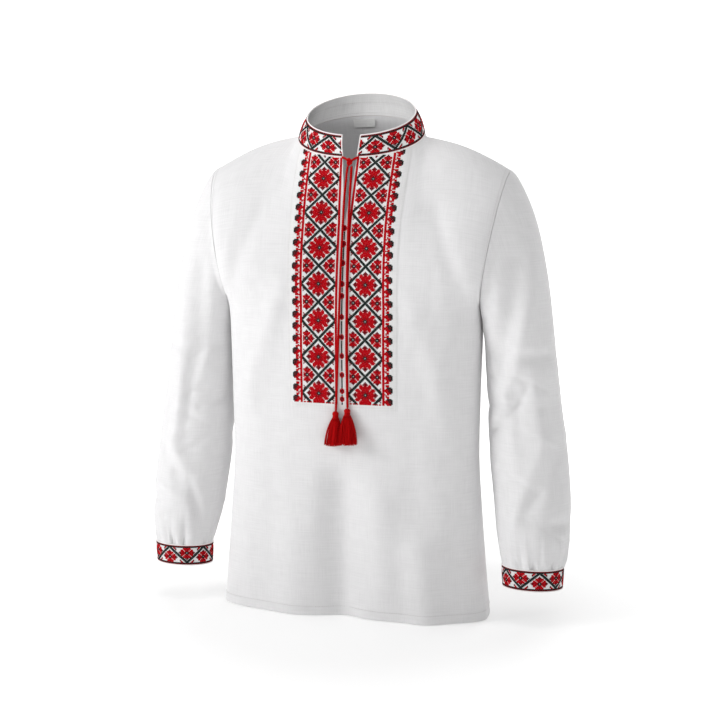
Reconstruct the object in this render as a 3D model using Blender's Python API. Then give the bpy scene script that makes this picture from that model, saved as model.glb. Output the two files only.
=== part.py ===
"""Folk shirt: straight body, slit neck, stand collar, set-in sleeves, cuffs and tasselled ties.

Metres, +Z up. The front faces -Y and the wearer's left sleeve is at +X. The origin is on the
neck's axis, level with the shoulder seams' inner ends, where a wearer's shoulders hold the shirt.
Each panel is a grid of points on the shirt's outer face, closed by a wall towards the inside.
"""
import math

import bmesh
import bpy
from mathutils import Vector
from mathutils.bvhtree import BVHTree

FRONT, BACK = -1, 1
WALL = 0.0018            # cloth and its seam allowances
HEM_WALL = 0.0026        # turned twice
PANEL_WALL = 0.0011      # embroidered overlay
SEAM = 0.0003            # space between pieces at a seam

# Body
HEM_Z = -0.775
HEM_BAND = 0.013
ARMPIT_Z = -0.270
SIDE_Y = -0.035          # plane of the side seams
SECTION_POWER = 2.4      # fuller than an ellipse
TORSO = (
    # z,     half width, front y, back y
    (0.022, 0.190, -0.040, 0.076),
    (-0.041, 0.195, -0.060, 0.098),
    (-0.142, 0.200, -0.090, 0.117),
    (-0.270, 0.206, -0.109, 0.122),
    (-0.420, 0.203, -0.108, 0.119),
    (-0.520, 0.202, -0.106, 0.118),
    (-0.600, 0.207, -0.104, 0.120),
    (-0.700, 0.215, -0.099, 0.122),
    (-0.775, 0.222, -0.094, 0.124),
)

# Neckline, slit and shoulder seam
NECK_HALF_WIDTH = 0.103
NECK_HALF_DEPTH = 0.068
NECK_Y = 0.008
NECK_Z = -0.008
NECK_RISE = 0.033        # the back of the neckline is this much above its sides
SLIT_HALF = 0.0115
SLIT_END_Z = -0.142
SHOULDER_TIP = Vector((0.243, NECK_Y, -0.061))
SHOULDER_ROUND = 0.009

# Armhole
ARMHOLE_LOW_X = 0.206
ARMHOLE_DEPTH = {FRONT: 0.060, BACK: 0.068}

# Embroidered panel and the grid's columns, as fractions from the centre to the side seam
PANEL_BOTTOM_Z = -0.432
PANEL_U = 0.284
NECK_U = 0.423
PANEL_COLUMNS, NECK_COLUMNS, SHOULDER_COLUMNS = 5, 2, 5
SLIT_ROWS, CHEST_ROWS, PANEL_ROWS, LOWER_ROWS = 4, 5, 5, 7

# Largest folds of the body, each along a line; height is outwards, so a trough's is negative
FOLDS = {
    FRONT: (
        # x0,    z0,     x1,     z1,    width, height
        (0.118, -0.270, 0.175, -0.440, 0.020, 0.0050),
        (0.138, -0.120, 0.186, -0.255, 0.016, -0.0045),
        (-0.105, -0.250, -0.165, -0.430, 0.022, 0.0045),
        (-0.140, -0.120, -0.188, -0.250, 0.016, -0.0040),
        (-0.004, -0.560, -0.006, -0.800, 0.030, -0.0150),
        (0.062, -0.580, 0.070, -0.740, 0.026, 0.0060),
        (0.125, -0.660, 0.135, -0.800, 0.034, 0.0140),
        (-0.080, -0.640, -0.090, -0.800, 0.032, 0.0060),
    ),
    BACK: (
        (0.135, -0.110, 0.188, -0.260, 0.018, -0.0035),
        (-0.130, -0.115, -0.186, -0.255, 0.018, -0.0030),
        (0.060, -0.480, 0.085, -0.800, 0.036, 0.0110),
        (-0.020, -0.540, -0.030, -0.800, 0.032, -0.0100),
        (-0.115, -0.520, -0.125, -0.800, 0.034, 0.0090),
    ),
}

# Sleeve and cuff
CAP_RINGS, ARM_RINGS = 5, 7
CAP_BULGE = 0.017
SLEEVE = (
    # z,    centre x, centre y, half width, half depth
    (-0.330, 0.2640, -0.010, 0.0555, 0.0620),
    (-0.420, 0.2720, -0.008, 0.0580, 0.0600),
    (-0.500, 0.2800, -0.010, 0.0615, 0.0590),
    (-0.580, 0.2885, -0.018, 0.0610, 0.0570),
    (-0.635, 0.2925, -0.029, 0.0575, 0.0510),
    (-0.663, 0.2940, -0.036, 0.0525, 0.0410),
    (-0.680, 0.2945, -0.040, 0.0490, 0.0345),
)
GATHERS = 12
GATHER_HEIGHT = 0.0022
GATHER_REACH = 0.050
SLEEVE_FOLDS = (
    # turn from the outer side, z, width in turn, width in z, height
    (0.22, -0.345, 0.16, 0.014, -0.0060),
    (0.30, -0.425, 0.14, 0.013, -0.0055),
    (0.10, -0.610, 0.09, 0.012, -0.0045),
    (0.28, -0.560, 0.10, 0.014, -0.0040),
    (0.72, -0.380, 0.15, 0.016, -0.0055),
    (0.64, -0.500, 0.12, 0.014, -0.0045),
)
CUFF_HEIGHT = 0.035
CUFF_TAPER = 0.0015

# Collar
COLLAR_TOP_HALF_WIDTH = 0.088
COLLAR_TOP_HALF_DEPTH = 0.061
COLLAR_TOP_Z = 0.0275
COLLAR_TOP_RISE = 0.0335
COLLAR_TOP_GAP = 0.0150
COLLAR_ROWS = 3
COLLAR_BELLY = 0.0025    # the band stands slightly convex

# Label inside the back of the neck
LABEL_WIDTH, LABEL_HEIGHT = 0.036, 0.012
LABEL_WALL = 0.0010
LABEL_X = -0.008
LABEL_SPACE = 0.0016     # the flat label clears the bent wall behind it
LABEL_ROW = 0.12         # its upper edge, in rows of the back's grid
LABEL_ROW_HEIGHT = 0.030

# Ties
CORD_RADIUS = 0.0021
KNOT_Z = -0.0475
KNOT_SWELL = 2.1
KNOT_FORWARD = 0.0035
KNOT_X = 0.0016
KNOT_ARM = 0.0135        # from the knot to each collar corner
KNOT_ARM_RISE = 0.0035
KNOT_HALF_PART = 0.28    # the knot's share of an arm
KNOT_STEPS = 12
CORD_SIDES_RESOLUTION = 2
CORD_POINTS = 26
TIE_ROUTES = {
    "left": (
        # z,     x
        (-0.0545, -0.0016), (-0.095, -0.0030), (-0.142, -0.0022), (-0.270, -0.0030),
        (-0.350, -0.0056), (-0.420, -0.0086), (-0.4340, -0.0092),
    ),
    "right": (
        (-0.0545, 0.0048), (-0.095, 0.0056), (-0.142, 0.0070), (-0.270, 0.0088),
        (-0.350, 0.0086), (-0.415, 0.0094), (-0.4290, 0.0098),
    ),
}

# Tassels
HEAD_RADIUS, HEAD_HEIGHT = 0.0054, 0.0115
SKIRT_BOTTOM_Z = -0.487
STRANDS_AROUND, STRAND_RINGS = 13, 3
STRAND_STEPS = 2
STRAND_INSET = 0.00022
SKIRT = {
    # side: (sideways lean, half width, half depth, distance of the axis from the cloth)
    "left": (-0.0045, 0.0118, 0.0062, 0.0085),
    "right": (0.0035, 0.0128, 0.0066, 0.0135),
}

LINEN = (0.90, 0.90, 0.89, 1.0)
EMBROIDERY = (0.50, 0.06, 0.08, 1.0)
THREAD_RED = (0.52, 0.01, 0.01, 1.0)


def clear_scene():
    for item in list(bpy.data.objects):
        bpy.data.objects.remove(item, do_unlink=True)


def material(name, colour, roughness):
    made = bpy.data.materials.new(name)
    made.use_nodes = True
    shader = made.node_tree.nodes["Principled BSDF"]
    shader.inputs["Base Color"].default_value = colour
    shader.inputs["Roughness"].default_value = roughness
    shader.inputs["Metallic"].default_value = 0.0
    return made


def place(name, mesh, colour, roughness=0.85):
    mesh.materials.append(material(name, colour, roughness))
    made = bpy.data.objects.new(name, mesh)
    bpy.context.scene.collection.objects.link(made)
    return made


def along(table, column, z):
    """A smooth curve through one column of a table whose rows go downwards."""
    rows = len(table)
    if z >= table[0][0]:
        return table[0][column]
    if z <= table[-1][0]:
        return table[-1][column]
    low = next(i for i in range(rows - 1) if table[i][0] >= z >= table[i + 1][0])
    step = table[low + 1][0] - table[low][0]
    part = (z - table[low][0]) / step

    def slope(i):
        before, after = max(i - 1, 0), min(i + 1, rows - 1)
        run = table[after][0] - table[before][0]
        return (table[after][column] - table[before][column]) / run * step

    start, end = table[low][column], table[low + 1][column]
    a, b = slope(low), slope(low + 1)
    square, cube = part ** 2, part ** 3
    return (start * (2 * cube - 3 * square + 1) + a * (cube - 2 * square + part)
            + end * (3 * square - 2 * cube) + b * (cube - square))


def line_distance(x, z, x0, z0, x1, z1):
    run = Vector((x1 - x0, z1 - z0))
    from_start = Vector((x - x0, z - z0))
    part = max(0.0, min(1.0, from_start.dot(run) / run.length_squared))
    return (from_start - run * part).length


def body_fold(side, x, z):
    """Height of the folds at a place on the body; they fade out at the side seams."""
    height = 0.0
    for x0, z0, x1, z1, width, tall in FOLDS[side]:
        away = line_distance(x, z, x0, z0, x1, z1) / width
        height += tall * math.exp(-away * away)
    return height


def torso_point(side, t, z):
    """A point of the body below the armholes; t runs from the centre, 0, to the side, 1."""
    half_width = along(TORSO, 1, z)
    depth = along(TORSO, 2 if side == FRONT else 3, z)
    reach = math.sin(abs(t) * math.pi / 2)
    x = math.copysign(half_width * reach, t)
    fullness = max(0.0, 1.0 - reach ** SECTION_POWER) ** (1.0 / SECTION_POWER)
    y = SIDE_Y + (depth - SIDE_Y) * fullness
    return Vector((x, y, z))


def slit_half(z):
    neck_front = NECK_Z - NECK_RISE
    open_part = (z - SLIT_END_Z) / (neck_front - SLIT_END_Z)
    return SLIT_HALF * max(0.0, min(1.0, open_part))


def neck_point(side, u):
    start = math.asin(SLIT_HALF / NECK_HALF_WIDTH) if side == FRONT else 0.0
    turn = start + (math.pi / 2 - start) * u / NECK_U
    return Vector((NECK_HALF_WIDTH * math.sin(turn),
                   NECK_Y + side * NECK_HALF_DEPTH * math.cos(turn),
                   NECK_Z + side * NECK_RISE * math.cos(turn)))


def top_point(side, u):
    """The upper edge: the neckline, and from its side the shoulder seam."""
    if u <= NECK_U:
        return neck_point(side, u)
    part = (u - NECK_U) / (1.0 - NECK_U)
    point = neck_point(side, NECK_U).lerp(SHOULDER_TIP, part)
    point.z += SHOULDER_ROUND * math.sin(math.pi * part)
    return point


def armhole_point(side, v):
    turn = math.pi * v
    down = (1.0 - math.cos(turn)) / 2
    low = Vector((ARMHOLE_LOW_X, SIDE_Y, ARMPIT_Z))
    point = SHOULDER_TIP.lerp(low, down)
    point.y += side * ARMHOLE_DEPTH[side] * math.sin(turn)
    return point


def centre_point(side, v):
    top = NECK_Z + side * NECK_RISE
    if side == FRONT:
        slit_part = SLIT_ROWS / (SLIT_ROWS + CHEST_ROWS)
        if v <= slit_part:
            z = top + (SLIT_END_Z - top) * v / slit_part
        else:
            z = SLIT_END_Z + (ARMPIT_Z - SLIT_END_Z) * (v - slit_part) / (1.0 - slit_part)
        return Vector((slit_half(z), along(TORSO, 2, z), z))
    z = top + (ARMPIT_Z - top) * v
    return Vector((0.0, along(TORSO, 3, z), z))


def yoke_point(side, u, v):
    """A point above the armpits, blended from the four edges of that half of the panel."""
    top, bottom = top_point(side, u), torso_point(side, u, ARMPIT_Z)
    inner, outer = centre_point(side, v), armhole_point(side, v)
    near = (1.0 - v) ** 2
    corners = ((top_point(side, 0.0) * (1 - u) + top_point(side, 1.0) * u) * near
               + (torso_point(side, 0.0, ARMPIT_Z) * (1 - u)
                  + torso_point(side, 1.0, ARMPIT_Z) * u) * (1 - near))
    return top * near + bottom * (1 - near) + inner * (1 - u) + outer * u - corners


def body_point(side, t, row):
    """A point of a body panel at a signed fraction t and a fractional row of its grid."""
    yoke_rows = SLIT_ROWS + CHEST_ROWS
    if row <= yoke_rows:
        point = yoke_point(side, abs(t), row / yoke_rows)
        point.x = math.copysign(point.x, t)
    else:
        point = torso_point(side, t, lower_row_z(row - yoke_rows))
    edge_fade = math.sin(min(1.0, (1.0 - abs(t)) * 5.0) * math.pi / 2)
    top_fade = min(1.0, row / 2.0)
    point.y += side * body_fold(side, point.x, point.z) * edge_fade * top_fade
    point.y += side * SEAM / 2
    return point


def body_normal(side, t, row):
    """The outward direction of the body's face, from short steps along the grid."""
    step = 0.02
    across = body_point(side, t + step, row) - body_point(side, t - step, row)
    down = body_point(side, t, row + step) - body_point(side, t, row)
    return (across.cross(down) * side).normalized()


def lower_row_z(row):
    if row <= PANEL_ROWS:
        return ARMPIT_Z + (PANEL_BOTTOM_Z - ARMPIT_Z) * row / PANEL_ROWS
    band_top = HEM_Z + HEM_BAND
    if row <= PANEL_ROWS + LOWER_ROWS:
        return PANEL_BOTTOM_Z + (band_top - PANEL_BOTTOM_Z) * (row - PANEL_ROWS) / LOWER_ROWS
    return HEM_Z


def half_columns():
    """Fractions of the grid's columns from the centre to the side."""
    values = [PANEL_U * i / PANEL_COLUMNS for i in range(PANEL_COLUMNS)]
    values += [PANEL_U + (NECK_U - PANEL_U) * i / NECK_COLUMNS for i in range(NECK_COLUMNS)]
    values += [NECK_U + (1.0 - NECK_U) * i / SHOULDER_COLUMNS
               for i in range(SHOULDER_COLUMNS + 1)]
    return values


def split_quad(quad, turned):
    """Two triangles with a fixed diagonal, so that an overlay bends just as its ground does."""
    a, b, c, d = quad
    pair = [[a, b, c], [a, c, d]]
    return [face[::-1] for face in pair] if turned else pair


def grid_faces(rows, columns, side, slit_rows=0):
    """Triangles between numbered grid places; above the slit's end the centre is doubled."""
    faces = []
    for row in range(rows):
        for column in range(-columns, columns):
            mark = -1 if column < 0 else 1
            upper = [place_key(row, c, mark, slit_rows) for c in (column, column + 1)]
            lower = [place_key(row + 1, c, mark, slit_rows) for c in (column, column + 1)]
            faces += split_quad([upper[0], lower[0], lower[1], upper[1]], side == BACK)
    return faces


def place_key(row, column, mark, slit_rows):
    doubled = column == 0 and row < slit_rows
    return (row, column, mark if doubled else 0)


def armhole_across(mirror):
    """Direction from the body to the sleeve, square to the armhole's plane."""
    down = SHOULDER_TIP - Vector((ARMHOLE_LOW_X, SHOULDER_TIP.y, ARMPIT_Z))
    return Vector((mirror * down.z, 0.0, -down.x)).normalized()


def armhole_normal(normal, v, mirror):
    """Near the armhole's upper part a wall lies along the armhole's plane on both sides of it."""
    across = armhole_across(mirror)
    share = min(1.0, max(0.0, (1.0 - v) / 0.25))
    return (normal - across * normal.dot(across) * share).normalized()


def seam_normal(key, columns, normal):
    """At the seams the wall goes straight in, so that both pieces' edges meet."""
    row, column = key[0], key[1]
    yoke_rows = SLIT_ROWS + CHEST_ROWS
    at_side = abs(column) == columns and row >= yoke_rows
    at_shoulder = row == 0 and abs(column) >= PANEL_COLUMNS + NECK_COLUMNS
    if at_side or at_shoulder:
        normal = Vector((normal.x, 0.0, normal.z)).normalized()
    if abs(column) == columns and row < yoke_rows:
        normal = armhole_normal(normal, row / yoke_rows, math.copysign(1, column))
    return normal


def sheet_normals(points, faces):
    sheet = bmesh.new()
    made = {key: sheet.verts.new(point) for key, point in points.items()}
    for face in faces:
        sheet.faces.new([made[key] for key in face])
    sheet.normal_update()
    normals = {key: vertex.normal.copy() for key, vertex in made.items()}
    sheet.free()
    return normals


def shell(name, points, faces, depth_of, adjust=None, colour=LINEN, outward=0.0):
    """Close a sheet of points with a wall behind it; depth_of gives the wall at a key."""
    sheet = bmesh.new()
    made = {key: sheet.verts.new(point) for key, point in points.items()}
    for face in faces:
        sheet.faces.new([made[key] for key in face])
    sheet.normal_update()
    normals = {}
    for key, vertex in made.items():
        normal = vertex.normal.copy()
        normals[key] = adjust(key, normal) if adjust else normal
    rim = [edge for edge in sheet.edges if edge.is_boundary]
    key_of = {vertex: key for key, vertex in made.items()}
    behind = {}
    for key, vertex in made.items():
        vertex.co += normals[key] * outward
        behind[key] = sheet.verts.new(vertex.co - normals[key] * depth_of(key))
    for face in faces:
        sheet.faces.new([behind[key] for key in reversed(face)])
    for edge in rim:
        loop = edge.link_loops[0]
        start, end = loop.vert, loop.link_loop_next.vert
        sheet.faces.new([end, start, behind[key_of[start]], behind[key_of[end]]])
    mesh = bpy.data.meshes.new(name)
    sheet.to_mesh(mesh)
    sheet.free()
    return place(name, mesh, colour)


def body_grid(side):
    values = half_columns()
    columns = len(values) - 1
    rows = SLIT_ROWS + CHEST_ROWS + PANEL_ROWS + LOWER_ROWS + 1
    slit_rows = SLIT_ROWS if side == FRONT else 0
    points = {}
    for row in range(rows + 1):
        for column in range(-columns, columns + 1):
            for mark in (-1, 1):
                if column and mark != (1 if column > 0 else -1):
                    continue
                key = place_key(row, column, mark, slit_rows)
                t = math.copysign(values[abs(column)], mark)
                points[key] = body_point(side, t, row)
    return points, rows, columns, slit_rows


def body_panel(name, side):
    points, rows, columns, slit_rows = body_grid(side)
    faces = grid_faces(rows, columns, side, slit_rows)

    def wall(key):
        return HEM_WALL if key[0] >= rows - 1 else WALL

    def adjust(key, normal):
        return seam_normal(key, columns, normal)

    return shell(name, points, faces, wall, adjust)


def embroidered_panel():
    """An overlay of the front's own points around the slit, moved out by a seam's space."""
    points, all_rows, columns, slit_rows = body_grid(FRONT)
    ground = sheet_normals(points, grid_faces(all_rows, columns, FRONT, slit_rows))
    rows = SLIT_ROWS + CHEST_ROWS + PANEL_ROWS
    kept = {key: point for key, point in points.items()
            if key[0] <= rows and abs(key[1]) <= PANEL_COLUMNS}
    faces = grid_faces(rows, PANEL_COLUMNS, FRONT, slit_rows)
    return shell("panel", kept, faces, lambda key: PANEL_WALL, lambda key, _: ground[key],
                 EMBROIDERY, SEAM + PANEL_WALL)


def sleeve_ring(z, turn):
    """A point of the sleeve below its cap; turn 0 is the outer side, 0.25 the front."""
    angle = 2 * math.pi * turn
    half_width, half_depth = along(SLEEVE, 3, z), along(SLEEVE, 4, z)
    for fold_turn, fold_z, turn_width, z_width, height in SLEEVE_FOLDS:
        away = abs((turn - fold_turn + 0.5) % 1.0 - 0.5) / turn_width
        level = (z - fold_z) / z_width
        dent = height * math.exp(-away * away - level * level)
        half_width += dent
        half_depth += dent
    above_cuff = z - SLEEVE[-1][0]
    swell = GATHER_HEIGHT * max(0.0, 1.0 - above_cuff / GATHER_REACH)
    swell *= 0.35 + 0.65 * min(1.0, above_cuff / (GATHER_REACH * 0.25))
    ripple = swell * math.cos(GATHERS * angle)
    return Vector((along(SLEEVE, 1, z) + (half_width + ripple) * math.cos(angle),
                   along(SLEEVE, 2, z) - (half_depth + ripple) * math.sin(angle), z))


def armhole_ring():
    """The body's armhole edge as turns around the sleeve, with one place between each pair."""
    yoke_rows = SLIT_ROWS + CHEST_ROWS
    ring = []
    for side, rows in ((FRONT, range(yoke_rows)), (BACK, range(yoke_rows, 0, -1))):
        step = 1 if side == FRONT else -1
        for row in rows:
            start = body_point(side, 1.0, row)
            end = body_point(side, 1.0, row + step)
            ring += [start, start.lerp(end, 0.5)]
    return ring


def sleeve_points(mirror):
    ring = armhole_ring()
    turns = len(ring)
    cap_end_z = SLEEVE[0][0]
    points = {}
    for row in range(CAP_RINGS + ARM_RINGS + 1):
        for place_in_ring, edge in enumerate(ring):
            turn = place_in_ring / turns
            if row <= CAP_RINGS:
                part = row / CAP_RINGS
                point = edge.lerp(sleeve_ring(cap_end_z, turn), part)
                outer = max(0.0, math.cos(2 * math.pi * turn))
                bulge = CAP_BULGE * math.sin(math.pi * part ** 0.75) * outer
                point += Vector((bulge, 0.0, bulge * 0.6))
                point += armhole_across(1) * 2 * SEAM * (1 - part)
            else:
                part = (row - CAP_RINGS) / ARM_RINGS
                part = 1.0 - (1.0 - part) ** 1.35
                point = sleeve_ring(cap_end_z + (SLEEVE[-1][0] - cap_end_z) * part, turn)
            point.x *= mirror
            points[(row, place_in_ring)] = point
    return points, turns


def tube_faces(rows, turns, mirror):
    faces = []
    for row in range(rows):
        for turn in range(turns):
            after = (turn + 1) % turns
            faces += split_quad([(row, turn), (row + 1, turn), (row + 1, after), (row, after)],
                                mirror > 0)
    return faces


def sleeve(name, mirror):
    points, turns = sleeve_points(mirror)
    faces = tube_faces(CAP_RINGS + ARM_RINGS, turns, mirror)

    def adjust(key, normal):
        from_top = abs(key[1] / turns * 2 - 1.0)
        return armhole_normal(normal, 1.0 - from_top, mirror) if key[0] == 0 else normal

    return shell(name, points, faces, lambda key: WALL, adjust)


def cuff(name, mirror):
    points = {}
    top_z = SLEEVE[-1][0] - SEAM
    turns = 2 * 2 * (SLIT_ROWS + CHEST_ROWS)
    for row in range(2):
        half_width = SLEEVE[-1][3] - CUFF_TAPER * row
        half_depth = SLEEVE[-1][4] - CUFF_TAPER * row
        for turn in range(turns):
            angle = 2 * math.pi * turn / turns
            points[(row, turn)] = Vector((
                mirror * (SLEEVE[-1][1] + half_width * math.cos(angle)),
                SLEEVE[-1][2] - half_depth * math.sin(angle), top_z - CUFF_HEIGHT * row))
    return shell(name, points, tube_faces(1, turns, mirror), lambda key: WALL, None, EMBROIDERY)


def collar_point(part, t):
    """part 0 is the neckline, 1 the rim; t runs from one front edge round the back to the other."""
    start_low = math.asin(SLIT_HALF / NECK_HALF_WIDTH)
    start_high = math.asin(COLLAR_TOP_GAP / COLLAR_TOP_HALF_WIDTH)
    start = start_low + (start_high - start_low) * part
    angle = -math.pi + start + (2 * math.pi - 2 * start) * t
    half_width = NECK_HALF_WIDTH + (COLLAR_TOP_HALF_WIDTH - NECK_HALF_WIDTH) * part
    half_depth = NECK_HALF_DEPTH + (COLLAR_TOP_HALF_DEPTH - NECK_HALF_DEPTH) * part
    middle = NECK_Z + (COLLAR_TOP_Z - NECK_Z) * part
    rise = NECK_RISE + (COLLAR_TOP_RISE - NECK_RISE) * part
    curve = math.sin(math.pi * part) * COLLAR_BELLY
    return Vector(((half_width + curve) * math.sin(angle),
                   NECK_Y + (half_depth + curve) * math.cos(angle),
                   middle + rise * math.cos(angle) + 2 * SEAM * (1 - part)))


def collar():
    turns = 4 * (PANEL_COLUMNS + NECK_COLUMNS)
    points = {(row, turn): collar_point(row / COLLAR_ROWS, turn / turns)
              for row in range(COLLAR_ROWS + 1) for turn in range(turns + 1)}
    faces = []
    for row in range(COLLAR_ROWS):
        for turn in range(turns):
            faces += split_quad([(row, turn), (row + 1, turn), (row + 1, turn + 1),
                                 (row, turn + 1)], False)
    return shell("collar", points, faces, lambda key: WALL, None, EMBROIDERY)


def label():
    """A blank label that hangs inside the back, just under the collar's seam."""
    columns = 4
    points = {}
    for row in range(2):
        for column in range(columns + 1):
            across = LABEL_X + (column / columns - 0.5) * LABEL_WIDTH
            t = math.asin(across / NECK_HALF_WIDTH) * 2 / math.pi * NECK_U
            level = LABEL_ROW + row * LABEL_HEIGHT / LABEL_ROW_HEIGHT
            point = body_point(BACK, t, level)
            points[(row, column)] = point - body_normal(BACK, t, level) * (WALL + LABEL_SPACE)
    faces = [[(0, c), (1, c), (1, c + 1), (0, c + 1)] for c in range(columns)]
    return shell("label", points, faces, lambda key: LABEL_WALL)


def front_surface(front, x, z):
    """Depth of the front's outer face at x and z, or of its centre line over the open slit."""
    tree = BVHTree.FromPolygons([v.co for v in front.data.vertices],
                                [p.vertices for p in front.data.polygons])
    hit = tree.ray_cast(Vector((x, -1.0, z)), Vector((0.0, 1.0, 0.0)))[0]
    centre = along(TORSO, 2, z)
    if hit is None or hit.y > centre + 0.02:
        return centre
    return hit.y


def cord(name, route, radii=None):
    """A round cord as a curve with filled ends."""
    curve = bpy.data.curves.new(name, "CURVE")
    curve.dimensions = "3D"
    curve.bevel_depth = CORD_RADIUS
    curve.bevel_resolution = CORD_SIDES_RESOLUTION
    curve.use_fill_caps = True
    spline = curve.splines.new("POLY")
    spline.points.add(len(route) - 1)
    for index, point in enumerate(route):
        spline.points[index].co = (*point, 1.0)
        spline.points[index].radius = radii[index] if radii else 1.0
    curve.materials.append(material(name, THREAD_RED, 0.7))
    made = bpy.data.objects.new(name, curve)
    bpy.context.scene.collection.objects.link(made)
    return made


def tie_route(side, front):
    table = TIE_ROUTES[side]
    over_panel = SEAM + PANEL_WALL + CORD_RADIUS + 2 * SEAM
    route = []
    for index in range(CORD_POINTS + 1):
        z = table[0][0] + (table[-1][0] - table[0][0]) * index / CORD_POINTS
        x = along(table, 1, z)
        route.append(Vector((x, front_surface(front, x, z) - over_panel, z)))
    return route


def knot_route():
    """From one collar corner over the knot to the other corner."""
    corner_y = NECK_Y - NECK_HALF_DEPTH - CORD_RADIUS - 3 * SEAM
    corner_z = NECK_Z - NECK_RISE + KNOT_ARM_RISE
    route, radii = [], []
    for index in range(KNOT_STEPS + 1):
        across = 2 * index / KNOT_STEPS - 1.0
        dip = 1.0 - abs(across) ** 1.5
        route.append(Vector((KNOT_X + across * KNOT_ARM, corner_y - KNOT_FORWARD * dip,
                             corner_z + (KNOT_Z - corner_z) * dip)))
        radii.append(1.0 + (KNOT_SWELL - 1.0) * math.exp(-(across / KNOT_HALF_PART) ** 2))
    return route, radii


def tassel(name, side, front):
    """A head with strands drawn out of its underside, in one closed body."""
    end_z, end_x = TIE_ROUTES[side][-1]
    lean, half_width, half_depth, stand_off = SKIRT[side]
    head_top = end_z - SEAM - 0.0002
    cord_y = tie_route(side, front)[-1].y
    cloth_y = front_surface(front, end_x, head_top - HEAD_HEIGHT)
    head_y = min(cord_y, cloth_y - HEAD_RADIUS - 3 * SEAM)
    work = bmesh.new()
    rings = []
    head_profile = (
        # drop from the top, radius
        (0.0000, 0.0022), (0.0015, 0.0043), (0.0045, HEAD_RADIUS), (0.0080, 0.0047),
        (HEAD_HEIGHT, 0.0056),
    )
    for drop, radius in head_profile:
        ring = []
        for turn in range(STRANDS_AROUND):
            angle = 2 * math.pi * turn / STRANDS_AROUND
            ring.append(work.verts.new((end_x + radius * math.cos(angle),
                                        head_y + radius * math.sin(angle), head_top - drop)))
        rings.append(ring)
    work.faces.new(rings[0])
    base_radius = head_profile[-1][1]
    for level in range(1, STRAND_RINGS + 1):
        radius = base_radius * (1.0 - level / (STRAND_RINGS + 0.6))
        ring = []
        for turn in range(STRANDS_AROUND):
            angle = 2 * math.pi * turn / STRANDS_AROUND
            ring.append(work.verts.new((end_x + radius * math.cos(angle),
                                        head_y + radius * math.sin(angle),
                                        head_top - HEAD_HEIGHT)))
        rings.append(ring)
    roots = []
    for level in range(len(rings) - 1):
        for turn in range(STRANDS_AROUND):
            after = (turn + 1) % STRANDS_AROUND
            face = work.faces.new([rings[level][turn], rings[level + 1][turn],
                                   rings[level + 1][after], rings[level][after]])
            if level >= len(head_profile) - 1:
                roots.append(face)
    work.faces.new(rings[-1][::-1])
    draw_strands(work, roots, Vector((end_x, head_y, head_top - HEAD_HEIGHT)), base_radius,
                 (lean, half_width, half_depth, cloth_y - stand_off - head_y))
    bmesh.ops.recalc_face_normals(work, faces=work.faces)
    mesh = bpy.data.meshes.new(name)
    work.to_mesh(mesh)
    work.free()
    return place(name, mesh, THREAD_RED, 0.7)


def draw_strands(work, roots, base, base_radius, skirt):
    """Draw each root face down into one strand; the skirt widens and leans as it falls."""
    lean, half_width, half_depth, forward = skirt
    bmesh.ops.inset_individual(work, faces=roots, thickness=STRAND_INSET, depth=0.0)
    for number, root in enumerate(roots):
        middle = root.calc_center_median()
        away = Vector((middle.x - base.x, middle.y - base.y)) / base_radius
        shorter = 0.0022 * ((number * 7) % 5) / 4
        face = root
        for step in range(1, STRAND_STEPS + 1):
            part = step / STRAND_STEPS
            drawn = bmesh.ops.extrude_discrete_faces(work, faces=[face])["faces"][0]
            spread = math.sin(part * math.pi / 2)
            target = Vector((
                base.x + lean * part + away.x * (base_radius + (half_width - base_radius) * spread),
                base.y + forward * part
                + away.y * (base_radius + (half_depth - base_radius) * spread),
                base.z + (SKIRT_BOTTOM_Z + shorter - base.z) * part))
            shift = target - drawn.calc_center_median()
            for vertex in drawn.verts:
                vertex.co += shift
            face = drawn


def build():
    clear_scene()
    front = body_panel("front", FRONT)
    body_panel("back", BACK)
    embroidered_panel()
    for name, mirror in (("left", 1), ("right", -1)):
        sleeve("sleeve_" + name, mirror)
        cuff("cuff_" + name, mirror)
    collar()
    label()
    cord("tie_knot", *knot_route())
    for side in ("left", "right"):
        cord("tie_" + side, tie_route(side, front))
        tassel("tassel_" + side, side, front)


build()
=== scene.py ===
"""Folk shirt, finished: cloth, cross-stitch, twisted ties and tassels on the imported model's frame.

Metres, +Z up. The front faces -Y and the wearer's left sleeve is at +X. The shape functions
repeat those of the solids, at a finer step and with the cloth's creases added.
"""

import math
import random

import bmesh
import bpy
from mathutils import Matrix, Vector, noise
from mathutils.bvhtree import BVHTree


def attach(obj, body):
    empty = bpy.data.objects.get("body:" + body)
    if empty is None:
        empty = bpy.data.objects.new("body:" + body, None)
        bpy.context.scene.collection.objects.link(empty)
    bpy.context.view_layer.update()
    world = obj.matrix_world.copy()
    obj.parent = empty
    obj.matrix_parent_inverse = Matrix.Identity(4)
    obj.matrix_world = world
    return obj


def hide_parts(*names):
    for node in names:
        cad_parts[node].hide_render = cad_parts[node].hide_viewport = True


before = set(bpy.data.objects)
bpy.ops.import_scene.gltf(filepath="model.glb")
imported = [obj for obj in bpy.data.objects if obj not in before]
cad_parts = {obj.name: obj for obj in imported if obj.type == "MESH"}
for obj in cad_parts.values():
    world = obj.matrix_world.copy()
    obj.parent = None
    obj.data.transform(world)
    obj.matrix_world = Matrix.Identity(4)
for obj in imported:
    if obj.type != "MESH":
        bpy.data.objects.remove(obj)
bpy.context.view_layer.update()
random.seed(7)

FRONT, BACK = -1, 1
WALL = 0.0010            # plain cloth
HEM_WALL = 0.0019        # turned twice
BAND_WALL = 0.0014       # collar and cuffs
PANEL_WALL = 0.0011      # embroidered overlay
LABEL_WALL = 0.0005
SEAM = 0.0003            # space between pieces at a seam

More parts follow.
